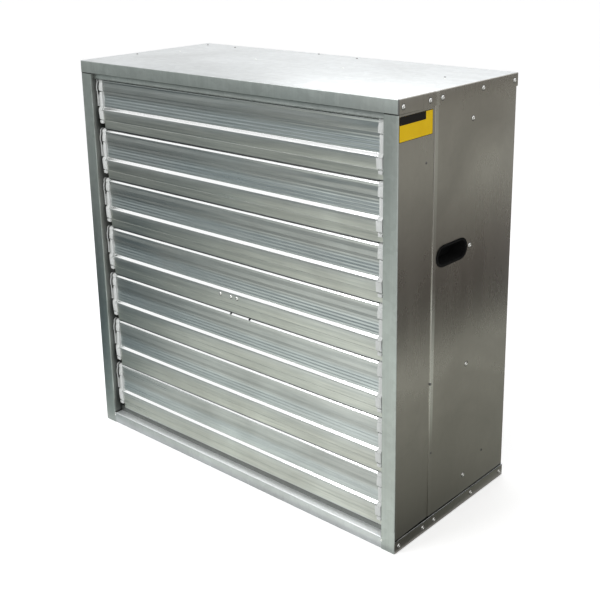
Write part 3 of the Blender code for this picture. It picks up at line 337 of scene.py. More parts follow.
# %% [markdown]
# ## Shared finishes
#
# Six effects come back in the materials of this fan, so each is a node group.
# *Streaks* are the fine parallel lines of rolled or brushed metal. *Blotches* are the slow
# changes of tone from handling and oil. *Spangle* is the crystal pattern of zinc on steel.
# *Specks* are dust, pits and small marks. *Painted line* lays a line of painted shade or a painted
# highlight along a level, and *slat by slat* says how far down its own slat a point lies, so that
# all seven slats take the same painted light and shade.


# %% Groups: streaks, blotches, spangle and specks
def make_streaks():
    tree, given, result = shader_group(
        "streaks", {"Vector": (0, 0, 0), "Stretch": (1.0, 1.0, 1.0), "Fineness": 1.0}
    )
    pulled = put(
        tree, "ShaderNodeVectorMath", {"operation": "MULTIPLY"}, i0=given["Vector"], i1=given["Stretch"]
    ).outputs[0]
    fine = noise(tree, pulled, given["Fineness"], 4.0, Roughness=0.62)
    broad = put(tree, "ShaderNodeVectorMath", {"operation": "SCALE"}, Vector=pulled, Scale=0.23).outputs[0]
    wide = noise(tree, broad, given["Fineness"], 2.0)
    blend = put(tree, "ShaderNodeMix", {"data_type": "FLOAT"}, Factor=0.45, A=fine, B=wide).outputs[0]
    tree.links.new(ranged(tree, blend, 0.32, 0.68), result)
    return tree


def make_blotches():
    tree, given, result = shader_group(
        "blotches", {"Vector": (0, 0, 0), "Scale": 3.0, "Low": 0.35, "High": 0.65}
    )
    cloud = noise(tree, given["Vector"], given["Scale"], 5.0, Roughness=0.55, Distortion=0.6)
    tree.links.new(ranged(tree, cloud, given["Low"], given["High"]), result)
    return tree


def make_spangle():
    tree, given, result = shader_group("spangle", {"Vector": (0, 0, 0), "Scale": 90.0})
    bent = put(tree, "ShaderNodeTexNoise", Vector=given["Vector"], Scale=60.0, Detail=1.0).outputs[1]
    moved = put(
        tree, "ShaderNodeVectorMath", {"operation": "MULTIPLY_ADD"}, i0=bent, i1=(0.012, 0.012, 0.012),
        i2=given["Vector"],
    ).outputs[0]
    cells = put(tree, "ShaderNodeTexVoronoi", Vector=moved, Scale=given["Scale"]).outputs["Color"]
    tree.links.new(put(tree, "ShaderNodeSeparateColor", Color=cells).outputs[0], result)
    return tree


def make_specks():
    tree, given, result = shader_group(
        "specks", {"Vector": (0, 0, 0), "Scale": 220.0, "Amount": 0.12}
    )
    dots = put(
        tree, "ShaderNodeTexVoronoi", Vector=given["Vector"], Scale=given["Scale"]
    ).outputs["Distance"]
    limit = calc(tree, "MULTIPLY", noise(tree, given["Vector"], 14.0, 3.0), given["Amount"])
    tree.links.new(calc(tree, "LESS_THAN", dots, limit), result)
    return tree


# %% [markdown]
# The last two groups measure the model. *Painted line* needs a height or a depth, the level of the
# line and its width. *Slat by slat* starts each slat's share a little above its pivot, so
# that the whole visible face of one slat lies between 0 and 1.

# %% Groups: painted line, and slat by slat
PIVOT_SHARE = 0.1


def make_painted_line():
    """A painted line of shade or highlight: within Width of Level, broken up by a slow noise."""
    tree, given, result = shader_group(
        "painted line", {"Vector": (0, 0, 0), "Place": 0.0, "Level": 0.0, "Width": 0.001, "Breaks": 0.3}
    )
    apart = calc(tree, "ABSOLUTE", calc(tree, "SUBTRACT", given["Place"], given["Level"]))
    near = ranged(tree, apart, given["Width"], 0.0)
    whole = ranged(tree, noise(tree, given["Vector"], 7.0, 3.0), given["Breaks"], 0.5)
    painted_line_mask = calc(tree, "MULTIPLY", near, whole)
    tree.links.new(calc(tree, "MULTIPLY", painted_line_mask, 2.0, clamp=True), result)
    return tree


def make_repeat():
    """Where a point lies from one slat's pivot to the next, counted downwards."""
    tree, given, result = shader_group(
        "slat by slat", {"Vector": (0, 0, 0), "Top": TOP_PIVOT, "Pitch": SLAT_PITCH}, "Share"
    )
    level = put(tree, "ShaderNodeSeparateXYZ", Vector=given["Vector"]).outputs[2]
    turns = calc(tree, "DIVIDE", calc(tree, "SUBTRACT", given["Top"], level), given["Pitch"])
    tree.links.new(calc(tree, "FRACT", calc(tree, "ADD", turns, PIVOT_SHARE)), result)
    return tree


def at_drop(drop):
    """The share of a point that lies a drop in millimetres below its pivot."""
    return PIVOT_SHARE + drop * MM / SLAT_PITCH


STREAKS = make_streaks()
BLOTCHES = make_blotches()
SPANGLE = make_spangle()
SPECKS = make_specks()
PAINTED_LINE = make_painted_line()
SLAT_BY_SLAT = make_repeat()
print("groups", [group.name for group in (STREAKS, BLOTCHES, SPANGLE, SPECKS, PAINTED_LINE, SLAT_BY_SLAT)])

# %% [markdown]
# ## Metals
#
# Sheet steel, aluminium and cast iron differ in tone, in the way their streaks run and in how
# rough they are. One function mixes the shared groups: a dark and a light tone, streaks along
# one axis, blotches that lower the shine, an optional spangle, and specks of dust. The bump is
# small, because rolled metal is nearly smooth.


# %% Function: a metal from its tones and its grain
def make_metal(
    name, dark, light, stretch, fineness=60.0, streak=0.6, blotch=2.6, spangle=0.0, rough=(0.3, 0.45),
    metallic=1.0, bump=0.06, stain=(0.20, 0.19, 0.17), stained=0.25, dusty=0.35,
):
    material, tree, shader = new_material(name)
    place = object_place(tree)
    lines = group_node(tree, STREAKS, Vector=place, Stretch=stretch, Fineness=fineness)
    clouds = group_node(tree, BLOTCHES, Vector=place, Scale=blotch)
    tone = mix_colour(tree, scaled(tree, lines, streak, (1 - streak) / 2), (*dark, 1), (*light, 1))
    if spangle:
        cells = group_node(tree, SPANGLE, Vector=place)
        shade = put(
            tree, "ShaderNodeMapRange", Value=cells, To_Min=1 - spangle, To_Max=1 + spangle
        ).outputs[0]
        grey = put(tree, "ShaderNodeCombineColor", i0=shade, i1=shade, i2=shade).outputs[0]
        tone = mix_colour(tree, 1.0, tone, grey, "MULTIPLY")
    tone = mix_colour(tree, scaled(tree, clouds, stained), tone, (*stain, 1))
    dust = group_node(tree, SPECKS, Vector=place)
    tone = mix_colour(tree, scaled(tree, dust, dusty), tone, (*stain, 1))
    tree.links.new(tone, shader.inputs["Base Color"])
    spread = rough[1] - rough[0]
    shine = scaled(tree, clouds, spread * 0.7, scaled(tree, lines, spread * 0.3, rough[0]))
    tree.links.new(shine, shader.inputs["Roughness"])
    shader.inputs["Metallic"].default_value = metallic
    relief = put(tree, "ShaderNodeBump", Strength=bump, Distance=0.0006, Height=lines).outputs[0]
    tree.links.new(relief, shader.inputs["Normal"])
    return material


# %% [markdown]
# ## The finishes of this fan
#
# The rolling direction of each sheet decides which way its streaks run: up the sides, along the
# slats, across the top. A high number in *stretch* packs the lines close on that axis, and a low
# one draws them long.

# %% Materials of the case, the shutter and the works
ALONG_X = (1.5, 60.0, 60.0)
ALONG_Z = (30.0, 30.0, 1.2)
ALL_WAYS = (12.0, 12.0, 12.0)

# The galvanised sheet. The copies after it are the same sheet in other tones, set by how light falls on each
# face: painted light and painted shade.
CASE_ZINC = make_metal(
    "case_zinc", (0.42, 0.46, 0.445), (0.58, 0.625, 0.60), ALONG_Z, fineness=7.0, streak=0.5,
    spangle=0.05, rough=(0.32, 0.46), stained=0.3,
)
# The copy for the sides, warmer and smoother, toned for their shade: painted shade.
SHADED_SIDE_ZINC = make_metal(
    "shaded_side_zinc", (0.50, 0.485, 0.45), (0.58, 0.565, 0.52), ALONG_Z, fineness=4.0, streak=0.25,
    spangle=0.015, rough=(0.24, 0.36), stained=0.35, blotch=3.4, bump=0.006, dusty=0.12,
)
# The lighter copy for the top and the base: painted light.
LIT_ZINC = make_metal(
    "lit_zinc", (0.58, 0.61, 0.62), (0.74, 0.765, 0.775), (2.0, 24.0, 24.0), fineness=8.0, streak=0.4,
    spangle=0.05, rough=(0.3, 0.44), stained=0.25,
)
# The near-white copy for the top of the sill: painted light.
LIT_SILL_ZINC = make_metal(
    "lit_sill_zinc", (0.86, 0.89, 0.90), (0.95, 0.97, 0.97), ALONG_X, fineness=7.0, streak=0.4,
    rough=(0.55, 0.65), stained=0.12,
)
SLAT_ALUMINIUM = make_metal(
    "slat_aluminium", (0.41, 0.44, 0.445), (0.71, 0.725, 0.705), ALONG_X, fineness=9.0, streak=0.85,
    rough=(0.26, 0.42), bump=0.1, stained=0.28, blotch=4.0,
)
# The dark copy for the jambs and the stop in the recess: painted shade.
SHADED_JAMB_ZINC = make_metal(
    "shaded_jamb_zinc", (0.14, 0.15, 0.145), (0.24, 0.25, 0.24), ALONG_Z, fineness=7.0, streak=0.5,
    rough=(0.4, 0.55),
)
WORKS_ZINC = make_metal(
    "works_zinc", (0.44, 0.47, 0.47), (0.6, 0.62, 0.62), ALONG_Z, fineness=7.0, spangle=0.07,
    rough=(0.36, 0.5), stained=0.35,
)
RIVET_STEEL = make_metal(
    "rivet_steel", (0.78, 0.78, 0.76), (0.95, 0.95, 0.93), ALL_WAYS, rough=(0.2, 0.3), bump=0.02, stained=0.1
)
WIRE_ZINC = make_metal(
    "wire_zinc", (0.5, 0.52, 0.52), (0.66, 0.68, 0.68), ALL_WAYS, rough=(0.3, 0.42), bump=0.05
)
CAST_IRON = make_metal(
    "cast_iron", (0.16, 0.165, 0.17), (0.27, 0.275, 0.28), ALL_WAYS, fineness=40.0, rough=(0.45, 0.62),
    metallic=0.8, bump=0.35, stained=0.4, stain=(0.12, 0.09, 0.07),
)
BRIGHT_STEEL = make_metal(
    "bright_steel", (0.5, 0.5, 0.5), (0.68, 0.68, 0.68), (6.0, 90.0, 6.0), fineness=9.0, rough=(0.2, 0.3)
)
MOTOR_PAINT = make_metal(
    "motor_paint", (0.17, 0.21, 0.24), (0.21, 0.26, 0.29), ALL_WAYS, fineness=30.0, rough=(0.38, 0.5),
    metallic=0.0, bump=0.12, stained=0.35, stain=(0.11, 0.11, 0.1),
)
# Dark steel for the pegs, and painted shade: the rings under rivets and dark corner faces.
PEG_STEEL_AND_SHADE = make_metal(
    "peg_steel_and_shade", (0.10, 0.10, 0.10), (0.2, 0.2, 0.2), ALL_WAYS, rough=(0.4, 0.5), bump=0.02
)
BLADE_METAL = make_metal(
    "blade_metal", (0.5, 0.52, 0.52), (0.68, 0.7, 0.7), (8.0, 8.0, 8.0), fineness=14.0, spangle=0.06,
    rough=(0.3, 0.42), stained=0.25,
)
print("metals ready")


# %% [markdown]
# ## Painted light and shade
#
# Some tones belong to a place, and most of them are painted light and shade. The slats take
# painted shade in the gap over the roll and under the step, a painted bluish reflection on the
# ribs, and painted highlights on the roll and on the ledge, where the shine is also smoother. The
# lap of the side panels takes a painted highlight, and painted shade lies in the joints over the
# base and under the top rail.


# %% Painted shade and highlights on the slats, in the joints and on the lap
def overlaid(material, mask, colour, mode="MIX"):
    """Lays a colour over a material's base colour, where the mask says."""
    tree = material.node_tree
    base = tree.nodes["Principled BSDF"].inputs["Base Color"]
    tree.links.new(mix_colour(tree, mask, base.links[0].from_socket, colour, mode), base)


def axes_of(tree, place):
    return put(tree, "ShaderNodeSeparateXYZ", Vector=place).outputs


# Colour multipliers by the drop below the pivot: painted shade in the gap over the roll and under the step,
# and a lighter, bluish tone on the ribs and the lower band as painted reflection.
SLAT_PAINTED_LIGHT_TONES = (
    (-11.7, (1.06, 1.05, 1.0)), (-9.2, 0.95), (-8.7, 0.18), (-6.3, 0.18), (-5.9, 1.0), (3, 1.05),
    (20, 0.95), (22.5, 0.82), (29, 0.9), (38, (1.08, 1.12, 1.16)), (57, (1.09, 1.13, 1.16)),
    (59.2, 0.95), (68, 1.05), (80, (1.01, 1.0, 0.96)), (92, (1.06, 1.05, 1.0)),
    (105.8, (1.07, 1.06, 1.0)),
)
# The roll and the ledge turn near white here: painted highlights, with a smoother shine.
SLAT_HIGHLIGHT_RIDGES = (
    (-5.8, 0), (-5.2, 1), (-1.6, 1), (-0.4, 0), (59.2, 0), (59.8, 1), (64.8, 1), (65.4, 0),
)


def paint_slat_shade_and_highlights():
    """Painted shade and reflection by the drop below the pivot, and painted highlights on roll and ledge."""
    tree = SLAT_ALUMINIUM.node_tree
    share = group_node(tree, SLAT_BY_SLAT, Vector=object_place(tree))
    tone, highlight_and_polish = (
        ramp_of(tree, share, [(at_drop(drop), value) for drop, value in stops])
        for stops in (SLAT_PAINTED_LIGHT_TONES, SLAT_HIGHLIGHT_RIDGES)
    )
    # Painted shade and painted reflection, by the drop below the pivot.
    overlaid(SLAT_ALUMINIUM, 1.0, tone, "MULTIPLY")
    # Painted highlight: the colour of the roll and the ledge is lifted to near white.
    overlaid(SLAT_ALUMINIUM, highlight_and_polish, (0.97, 0.98, 0.98, 1))
    shine = tree.nodes["Principled BSDF"].inputs["Roughness"]
    lower = calc(tree, "MULTIPLY", highlight_and_polish, 0.16)
    tree.links.new(calc(tree, "SUBTRACT", shine.links[0].from_socket, lower), shine)


def paint_side_highlight_and_shade():
    """A painted highlight along the lap, stronger at mid height, and a painted shade line over the base."""
    tree = SHADED_SIDE_ZINC.node_tree
    place = object_place(tree)
    y, z = axes_of(tree, place)[1:]
    # Painted highlight: a bright line along the lap of the side panels.
    painted_lap_highlight = group_node(tree, PAINTED_LINE, Vector=place, Place=y, Level=-0.081, Width=0.0065, Breaks=0.1)
    painted_lap_highlight = calc(tree, "MULTIPLY", painted_lap_highlight, 1.5, clamp=True)
    height = ramp_of(
        tree, z, ((0.19, 0.04), (0.27, 0.6), (0.47, 0.85), (0.54, 0.3), (0.72, 0.2), (0.85, 0.3))
    )
    overlaid(SHADED_SIDE_ZINC, calc(tree, "MULTIPLY", painted_lap_highlight, height), (0.95, 0.97, 0.93, 1))
    # Painted shade: a near-black line in the joint over the base.
    painted_joint_shade = group_node(tree, PAINTED_LINE, Vector=place, Place=z, Level=0.0275, Width=0.0034, Breaks=0.3)
    overlaid(SHADED_SIDE_ZINC, painted_joint_shade, (0.015, 0.015, 0.012, 1))


def paint_rail_joint_shade():
    """A painted shade line where the top rail meets the uprights."""
    tree = CASE_ZINC.node_tree
    place = object_place(tree)
    level = axes_of(tree, place)[2]
    # Painted shade: a dark line along the joint under the top rail.
    painted_joint_shade = group_node(tree, PAINTED_LINE, Vector=place, Place=level, Level=0.872, Width=0.0016, Breaks=0.2)
    overlaid(CASE_ZINC, painted_joint_shade, (0.03, 0.03, 0.028, 1))


# These lay painted shade, painted reflection and painted highlights into the base colours.
paint_slat_shade_and_highlights()
paint_side_highlight_and_shade()
paint_rail_joint_shade()
print("painted shade and highlights laid on")

# %% [markdown]
# ## Plastics and rubber
#
# The end caps are white nylon, a little grey and grubby. The hand holes and the cable gland are
# black plastic with a fine grain, and the belt is dusty rubber with a rougher face. They are not
# metal, so they show their own colour and only a weak shine.


# %% Function and materials: plastics and rubber
def make_moulded(
    name, dark, light, grain=900.0, bump=0.12, rough=(0.4, 0.55), soil=0.3, specular=0.5,
):
    material, tree, shader = new_material(name)
    place = object_place(tree)
    shader.inputs["Specular IOR Level"].default_value = specular
    clouds = group_node(tree, BLOTCHES, Vector=place, Scale=9.0)
    tone = mix_colour(tree, scaled(tree, clouds, soil), (*light, 1), (*dark, 1))
    dust = group_node(tree, SPECKS, Vector=place, Amount=0.16)
    tone = mix_colour(tree, scaled(tree, dust, 0.3), tone, (*dark, 1))
    tree.links.new(tone, shader.inputs["Base Color"])
    tree.links.new(scaled(tree, clouds, rough[1] - rough[0], rough[0]), shader.inputs["Roughness"])
    fine = noise(tree, place, grain, 2.0)
    relief = put(tree, "ShaderNodeBump", Strength=bump, Distance=0.0004, Height=fine).outputs[0]
    tree.links.new(relief, shader.inputs["Normal"])
    return material


CAP_NYLON = make_moulded("cap_nylon", (0.36, 0.37, 0.35), (0.78, 0.80, 0.79), rough=(0.3, 0.42), soil=0.25)
BLACK_PLASTIC = make_moulded(
    "black_plastic", (0.006, 0.006, 0.006), (0.012, 0.012, 0.012), rough=(0.7, 0.8), soil=0.8, specular=0.04
)
BELT_RUBBER = make_moulded(
    "belt_rubber", (0.05, 0.047, 0.042), (0.022, 0.022, 0.022), grain=1500.0, bump=0.3, rough=(0.6, 0.8)
)
PLATE_YELLOW = make_moulded(
    "plate_yellow", (0.80, 0.46, 0.004), (1.0, 0.66, 0.006), grain=300.0, bump=0.03, rough=(0.6, 0.7),
    specular=0.15,
)
PLATE_DARK = make_moulded(
    "plate_dark", (0.008, 0.007, 0.006), (0.014, 0.012, 0.01), grain=300.0, bump=0.03, rough=(0.6, 0.7),
    specular=0.15,
)


def paint_cap_groove_shade():
    """Painted shade in the groove of a left cap, from its top to below the step."""
    tree = CAP_NYLON.node_tree
    place = object_place(tree)
    across = axes_of(tree, place)[0]
    # Painted shade: the groove is darkened along its length.
    groove = group_node(tree, PAINTED_LINE, Vector=place, Place=across, Level=-0.4086, Width=0.0038, Breaks=0.0)
    share = group_node(tree, SLAT_BY_SLAT, Vector=place)
    stops = ((-9, 0), (-8, 0.8), (30, 1), (32, 0.35), (56, 0.3), (60, 0))
    depth = ramp_of(tree, share, [(at_drop(drop), value) for drop, value in stops])
    overlaid(CAP_NYLON, calc(tree, "MULTIPLY", groove, depth), (0.02, 0.02, 0.018, 1))


paint_cap_groove_shade()
print("plastics ready")

# %% [markdown]
# ## Making pieces
#
# Every finished piece rides on one body of the model, takes one material, and may stand for one
# or more nodes. Its place is in its mesh. Round faces are shaded smooth, and edges sharper than a
# limit stay crisp.

# %% Helpers: finished pieces
SMOOTH_LIMIT = math.radians(32)


def finish(name, mesh, material, body, stands_for=()):
    """Puts a finished mesh in the scene as a piece of the fan."""
    mesh.shade_smooth()
    mesh.set_sharp_from_angle(angle=SMOOTH_LIMIT)
    mesh.materials.clear()
    mesh.materials.append(material)
    piece = linked(name, mesh)
    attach(piece, body)
    if stands_for:
        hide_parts(*stands_for)
    return piece


def mesh_of(bm, name, outwards=True):
    """The mesh of a bmesh. Its faces are turned outwards, unless it is an open sheet."""
    if outwards:
        bmesh.ops.recalc_face_normals(bm, faces=bm.faces)
    mesh = bpy.data.meshes.new(name)
    bm.to_mesh(mesh)
    bm.free()
    return mesh


def in_mm(*points):
    """Points given in millimetres."""
    return [tuple(value * MM for value in point) for point in points]


# %% [markdown]
# Some shapes get a modifier before they are finished: a wall for a sheet, round edges for a
# casting. The working object is dropped once its plain mesh has been taken.


# %% Helpers: walls and edges of a working object
def walled(thing, thickness, offset, even=False):
    wall = thing.modifiers.new("wall", "SOLIDIFY")
    wall.thickness = thickness
    wall.offset = offset
    wall.use_even_offset = even


def edged(thing, width, segments, angle=30):
    """Rounds the edges that bend by more than an angle in degrees."""
    edge = thing.modifiers.new("edge", "BEVEL")
    edge.width = width
    edge.segments = segments
    edge.limit_method = "ANGLE"
    edge.angle_limit = math.radians(angle)


def baked(thing):
    """The plain mesh of an object after its modifiers; the object goes."""
    graph = bpy.context.evaluated_depsgraph_get()
    mesh = bpy.data.meshes.new_from_object(thing.evaluated_get(graph), depsgraph=graph)
    bpy.data.objects.remove(thing)
    return mesh


# %% [markdown]
# ## Folded sheet with real bends
#
# The model's sheets have knife-sharp folds. Real sheet bends round a radius of about its own
# thickness, and that round edge catches the light. A copy of each sheet is welded and cleaned;
# then its outward folds get a large bevel, its inward folds a small one, and its cut edges a
# tiny one. A fold has a broad face on both sides, and a cut edge has a narrow face on one.

# %% Function: soften the edges of a copy of a model node
SHEET = 1.5 * MM
WELD = 0.02 * MM
RIM_LIMIT = 60


def face_width(face):
    """A rough width of a face: its area over half its outline."""
    return 2 * face.calc_area() / max(face.calc_perimeter(), WELD)


def welded_copy(node):
    bm = bmesh.new()
    bm.from_mesh(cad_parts[node].data)
    bmesh.ops.remove_doubles(bm, verts=bm.verts, dist=WELD)
    bmesh.ops.dissolve_limit(bm, angle_limit=math.radians(1), verts=bm.verts, edges=bm.edges)
    return bm


def bevel_edges(bm, edges, width, segments):
    if edges:
        bmesh.ops.bevel(
            bm, geom=edges, offset=width, offset_type="OFFSET", segments=segments, profile=0.5,
            affect="EDGES", clamp_overlap=True,
        )


def softened(node, outer=2.0 * MM, inner=0.5 * MM, rim=0.25 * MM, narrow=2.2 * MM, angle=25, move=None):
    """A copy of a node with round folds and softened cut edges."""
    bm = welded_copy(node)
    for spot in bm.verts if move else ():
        move(spot.co)

    def sharp(limit, convex, broad):
        """Edges that bend by more than a limit, with two broad faces or with a narrow one."""
        found = []
        for edge in bm.edges:
            if len(edge.link_faces) == 2 and edge.calc_face_angle(0) > math.radians(limit):
                width = min(face_width(face) for face in edge.link_faces)
                if edge.is_convex == convex and (width > narrow) == broad:
                    found.append(edge)
        return found

    bevel_edges(bm, sharp(angle, True, True), outer, 3)
    bevel_edges(bm, sharp(angle, False, True), inner, 2)
    bevel_edges(bm, sharp(RIM_LIMIT, True, False), rim, 1)
    return mesh_of(bm, node)


def dress(node, body, material, slot, name=None, **sizes):
    """Replaces a model node by its softened copy."""
    return finish(name or node + "_sheet", softened(node, **sizes), material, body, [node])


def recoat(piece, *coats):
    """Gives some faces of a piece another finish: each coat is (material, test of normal and centre)."""
    for index, (material, test) in enumerate(coats, 1):
        piece.data.materials.append(material)
        for face in piece.data.polygons:
            if test(face.normal, face.center):
                face.material_index = index


# %% [markdown]
# In the photograph the uprights end flush with the rails at the front, while the model's front
# side sheets stand a little inside them. Their copies lean out towards the front and end in the
# front plane, with the edge of the bottom panel just behind them. Some faces then get a finish of
# their own.

# %% The sheets of the case
STILE_FLUSH = 3.2 * MM
LAP_Y = -76 * MM
LEAN_RUN = 122 * MM
HALF = 450 * MM
FRONT, REAR = -200 * MM, 200 * MM
SILL_Z = 20 * MM
FLANK_FOOT, FLANK_TOP = 0.2 * MM, 871.8 * MM


def flank_push(y):
    """How far the front part of a side stands out, to end flush with the rails at the front."""
    return STILE_FLUSH * max(0.0, min(1.0, (LAP_Y - y) / LEAN_RUN))


def flush_stile(spot):
    """Brings the front sheet of a side level with the rails, and ends it just under the top rail."""
    if abs(spot.x) > HALF - 4 * MM:
        spot.x += math.copysign(flank_push(spot.y), spot.x)
    if spot.y < FRONT + 2.5 * MM:
        spot.y = FRONT
    spot.z = min(max(spot.z, FLANK_FOOT) if spot.z > 10 * MM else FLANK_FOOT, FLANK_TOP)


def behind_stile(spot):
    if spot.y < FRONT + 1 * MM:
        spot.y = FRONT + 0.5 * MM


def flank(normal, centre):
    return abs(normal.x) > 0.7


top = dress("top_panel", "case", CASE_ZINC, "galvanised_sheet")
# The top faces take the lighter copy as painted light, the flanks the side copy as painted shade, and the
# faces of the front right corner the dark steel as a painted shade line.
recoat(
    top, (LIT_ZINC, lambda normal, centre: normal.z > 0.5), (SHADED_SIDE_ZINC, flank),
    (PEG_STEEL_AND_SHADE, lambda normal, centre: normal.x > 0.2 and normal.y < -0.2),
)
# The bottom panel takes the lighter copy: painted light.
base = dress("bottom_panel", "case", LIT_ZINC, "galvanised_sheet", move=behind_stile)
# The sill's top takes the near-white copy as painted light, the flanks the side copy as painted shade, and
# the sill's upward faces at both ends the dark steel as painted shade.
recoat(
    base, (LIT_SILL_ZINC, lambda normal, centre: normal.z > 0.7 and centre.z > SILL_Z), (SHADED_SIDE_ZINC, flank),
    (PEG_STEEL_AND_SHADE, lambda normal, centre: (
        normal.z > 0.3 and centre.z > SILL_Z and abs(centre.x) > HALF - 3 * MM
    )),
)
for hand in ("left", "right"):
    front = dress(
        f"{hand}_front_side_panel", "case", CASE_ZINC, "galvanised_sheet", move=flush_stile,
        narrow=4.4 * MM,
    )
    # The flanks take the side copy: painted shade.
    recoat(front, (SHADED_SIDE_ZINC, lambda normal, centre: flank(normal, centre) and centre.y > FRONT + 4 * MM))
    # The rear sides take the side copy and the jambs the dark copy: painted shade.
    dress(f"{hand}_rear_side_panel", "case", SHADED_SIDE_ZINC, "galvanised_sheet")
    dress(f"shutter_jamb_{hand}", "case", SHADED_JAMB_ZINC, "galvanised_sheet")
dress("head_rail", "case", CASE_ZINC, "galvanised_sheet")
for node in ("venturi_panel", "motor_plate"):
    dress(node, "case", WORKS_ZINC, "galvanised_sheet")
print("sheets folded")

# %% [markdown]
# ## The slats
#
# Each slat is one aluminium extrusion: a roll along its top, a plain band, five fine ribs, a
# ledge that stands forward, a bead and a hem. An extrusion is one outline drawn along a line, so
# a geometry tree draws it: the outline comes in as a chain of edges, and the tree extrudes it
# along X. The corners of the outline are rounded first, by cutting each with a short arc.

# %% The slat's outline
SLATS = 7
PIVOT_Y = -178 * MM
SLAT_HALF = 394.7 * MM
SLAT_WALL = 1.2 * MM
ROLL_RADIUS = 6.5 * MM
RIBS, RIB_PITCH, RIB_DEPTH, RIB_STEPS = 5, 6.7 * MM, 0.42 * MM, 8
RIBS_TOP = 25 * MM
UNDER_ROLL = ((6.6, -1.1), (6.3, 1.2), (5.0, 3.6), (5.8, 12), (5.1, 22.2), (3.8, 22.7), (4.0, 24.2))
LEDGE = ((3.2, 58.7), (3.4, 59.9), (8.5, 64.5), (9.0, 66.3), (9.1, 70), (8.7, 76))
BEAD = ((87.5, 0), (88.2, 0.45), (89.4, 0.45), (90, 0.1))
HEM = ((6.1, 107.2), (5.9, 109.3), (5.1, 110.8), (4.4, 111.3))


def pivot_of(number):
    """The pivot of a slat, counted from 1 at the top."""
    return Vector((0, PIVOT_Y, TOP_PIVOT - SLAT_PITCH * (number - 1)))


def rounded_path(points, radius, steps=3):
    """Cuts each inner corner of a path of (a, b) with a short curve."""
    path = [Vector(points[0])]
    for before, corner, after in zip(points, points[1:], points[2:]):
        before, corner, after = Vector(before), Vector(corner), Vector(after)
        cut = min(radius, (corner - before).length * 0.45, (after - corner).length * 0.45)
        start = corner + (before - corner).normalized() * cut
        end = corner + (after - corner).normalized() * cut
        for step in range(steps + 1):
            t = step / steps
            path.append(start * (1 - t) ** 2 + corner * 2 * t * (1 - t) + end * t**2)
    return path + [Vector(points[-1])]


def apron_forward(drop):
    """How far forward the slat's lower band stands: 9 mm at a drop of 67 mm, 6 mm at 108.2 mm."""
    return (9 - 3 * (drop / MM - 67) / 41.2) * MM


def slat_points():
    """The slat's outer face as (forward, down) of the pivot, from the open end of its roll."""
    path = []
    for step in range(21):
        angle = math.radians(225 - 8 * step)
        path.append((ROLL_RADIUS * math.cos(angle), -ROLL_RADIUS * math.sin(angle)))
    path += in_mm(*UNDER_ROLL)
    for step in range(RIBS * RIB_STEPS):
        run = step * RIB_PITCH / RIB_STEPS
        wave = 0.5 - 0.5 * math.cos(2 * math.pi * run / RIB_PITCH)
        lean = 4.0 * MM - 0.085 * run if run < 12 * MM else 2.98 * MM + 0.05 * (run - 12 * MM)
        path.append((lean + RIB_DEPTH * wave, RIBS_TOP + run))
    path += in_mm(*LEDGE)
    path += [(apron_forward(drop * MM) - dent * MM, drop * MM) for drop, dent in BEAD]
    path += in_mm(*HEM)
    return rounded_path(path, 0.8 * MM)


SLAT_POINTS = slat_points()
print("slat outline", len(SLAT_POINTS), "points")


# %% [markdown]
# Each geometry tree of this lesson takes a mesh and a material, and hands on real geometry in that
# material. Two helpers write the start and the end that they share.

# %% Geometry nodes: draw a chain of edges along X
def geometry_tree(name, **more):
    """A geometry tree with a mesh, more inputs (name = kind) and a material to take in."""
    tree = bpy.data.node_groups.new(name, "GeometryNodeTree")
    for label, kind in {"Geometry": "Geometry", **more, "Material": "Material"}.items():
        tree.interface.new_socket(label, in_out="INPUT", socket_type="NodeSocket" + kind)
    tree.interface.new_socket("Geometry", in_out="OUTPUT", socket_type="NodeSocketGeometry")
    return tree, tree.nodes.new("NodeGroupInput").outputs


def put_out(tree, given, geometry):
    """Makes instances real, sets the material and puts the geometry out."""
    solid = put(tree, "GeometryNodeRealizeInstances", Geometry=geometry).outputs[0]
    coated = put(tree, "GeometryNodeSetMaterial", Geometry=solid, Material=given["Material"]).outputs[0]
    put(tree, "NodeGroupOutput", Geometry=coated)
    return tree


def make_draw_tree():
    tree, given = geometry_tree("drawn along X", Length="Float")
    along = put(tree, "ShaderNodeCombineXYZ", X=given["Length"]).outputs[0]
    drawn = put(
        tree, "GeometryNodeExtrudeMesh", {"mode": "EDGES"}, Mesh=given["Geometry"], Offset=along,
        Offset_Scale=1.0,
    ).outputs[0]
    return put_out(tree, given, drawn)


def run_tree(thing, tree, **values):
    """Adds a geometry tree to an object, and sets its inputs by their identifiers."""
    modifier = thing.modifiers.new(tree.name, "NODES")
    modifier.node_group = tree
    for item in tree.interface.items_tree:
        if item.item_type == "SOCKET" and item.in_out == "INPUT" and item.name in values:
            modifier[item.identifier] = values[item.name]


DRAWN_ALONG_X = make_draw_tree()


def drawn_sheet(name, path, low, high, wall, side, material):
    """A wall of sheet drawn along X from an open path of (Y, Z)."""
    mesh = bpy.data.meshes.new(name)
    points = [(low, y, z) for y, z in path]
    mesh.from_pydata(points, [(i, i + 1) for i in range(len(points) - 1)], [])
    thing = linked(name, mesh)
    run_tree(thing, DRAWN_ALONG_X, Length=high - low, Material=material)
    walled(thing, wall, side, True)
    return baked(thing)


# %% [markdown]
# ## Lugs, pins and the seven slats
#
# Behind the middle of each slat a lug reaches back to the tie bar, which makes all seven swing
# together. The lug and its pin are simple closed shapes, added to the slat's mesh. The fifth
# slat has two notches sawn in its roll, where the real one shows them.


